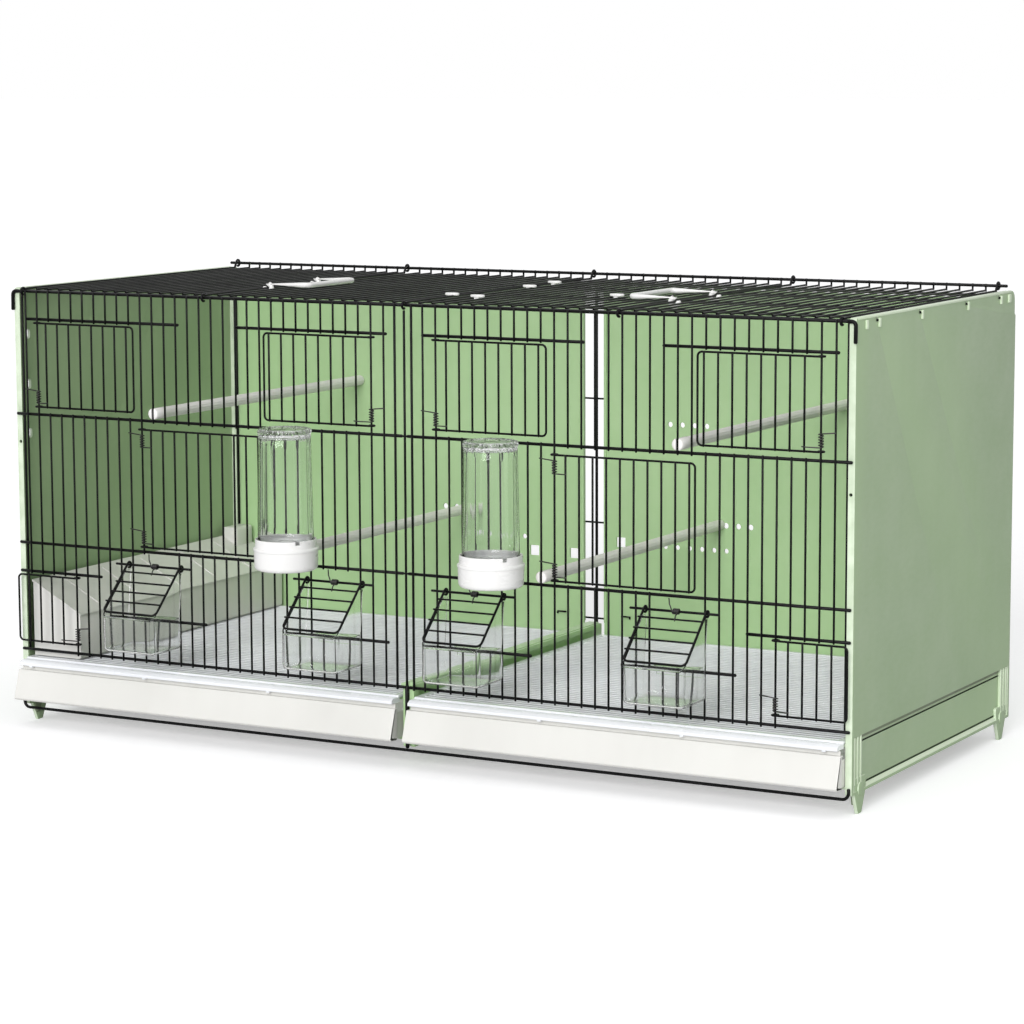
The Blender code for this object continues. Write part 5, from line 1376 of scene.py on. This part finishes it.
def studio():
    """A plain pale floor, a white surround, and soft light from the front right, above and beside."""
    mesh = bpy.data.meshes.new("studio_floor")
    corners = [(x * FLOOR_REACH, y * FLOOR_REACH, 0) for x, y in ((-1, -1), (1, -1), (1, 1), (-1, 1))]
    mesh.from_pydata(corners, [], [(0, 1, 2, 3)])
    floor = working("studio_floor", mesh)
    finish = bpy.data.materials.new("studio_floor")
    tree = emptied(finish)
    base = add(tree, "BsdfDiffuse", {"Color": (0.80, 0.80, 0.81, 1)})
    glow = add(tree, "Emission", {"Color": WHITE, "Strength": 0.36})
    lit = add(tree, "AddShader", {0: base.outputs[0], 1: glow.outputs[0]})
    seen = add(tree, "LightPath").outputs["Is Camera Ray"]
    mixed = add(tree, "MixShader", {0: seen, 1: base.outputs[0], 2: lit.outputs[0]})
    add(tree, "OutputMaterial", {"Surface": mixed.outputs[0]})
    mesh.materials.append(finish)

    world = bpy.data.worlds.new("studio")
    tree = emptied(world)
    path = add(tree, "LightPath").outputs
    seen = math_node(tree, "MAXIMUM", path["Is Camera Ray"], path["Is Glossy Ray"])
    seen = math_node(tree, "MAXIMUM", seen, path["Is Transmission Ray"])
    white = add(tree, "Background", {"Color": WHITE, "Strength": 1.0})
    soft = add(tree, "Background", {"Color": (0.99, 0.995, 1, 1), "Strength": 0.38})
    mixed = add(tree, "MixShader", {0: seen, 1: soft.outputs[0], 2: white.outputs[0]})
    add(tree, "OutputWorld", {"Surface": mixed.outputs[0]})
    bpy.context.scene.world = world

    for name, energy, angle, ahead in SUNS:
        sun = bpy.data.lights.new(name, "SUN")
        sun.energy = energy
        sun.angle = math.radians(angle)
        aimed(working(name, sun), ahead)
    panel_light = bpy.data.lights.new("panel_light", "AREA")
    panel_light.energy = 0.42
    panel_light.shape = "RECTANGLE"
    panel_light.size = 0.3
    panel_light.size_y = 0.6
    lamp = working("panel_light", panel_light)
    lamp.location = (0.82, -0.30, 0.33)
    aimed(lamp, Vector((0.45, -0.13, 0.25)) - lamp.location)


def camera():
    """The photograph's viewpoint: its place, direction and lens."""
    place = Vector((CAMERA_PLACE[0], ORIGIN_Y + CAMERA_PLACE[1], CAMERA_PLACE[2]))
    yaw, pitch, roll = (math.radians(angle) for angle in CAMERA_ANGLES)
    ahead = Vector((-math.sin(yaw) * math.cos(pitch), math.cos(yaw) * math.cos(pitch), -math.sin(pitch)))
    right = ahead.cross(Vector(UP)).normalized()
    up = right.cross(ahead)
    tilted_right = right * math.cos(roll) + up * math.sin(roll)
    tilted_up = up * math.cos(roll) - right * math.sin(roll)
    data = bpy.data.cameras.new("camera")
    data.sensor_width = SENSOR_WIDTH
    data.lens = SENSOR_WIDTH * FOCAL_PIXELS / PHOTO_WIDTH
    data.clip_end = 200
    made = working("camera", data)
    turn = Matrix((tilted_right, tilted_up, -ahead)).transposed()
    made.matrix_world = Matrix.Translation(place) @ turn.to_4x4()
    bpy.context.scene.camera = made


for SIDE, WORD in ((-1, "left"), (1, "right")):
    side_panel(SIDE, WORD)
    back_panel(SIDE, WORD)
    front_grille(SIDE, WORD)
    drawer(SIDE, WORD)
    floor_grid(SIDE, WORD)
    handle(SIDE, WORD)
    drinker(SIDE, WORD)
    perch(f"upper_perch_{WORD}", SIDE * UPPER_PERCH_X, UPPER_RAIL_Z)
    perch(f"lower_perch_{WORD}", SIDE * LOWER_PERCH_X, MIDDLE_RAIL_Z)
centre_rail()
centre_wires()
tie_wire()
top_grille()
roof_clips()
doors_and_springs()
feeders_and_flaps()
floor_box()
studio()
camera()

scene = bpy.context.scene
scene.view_settings.view_transform = "Standard"
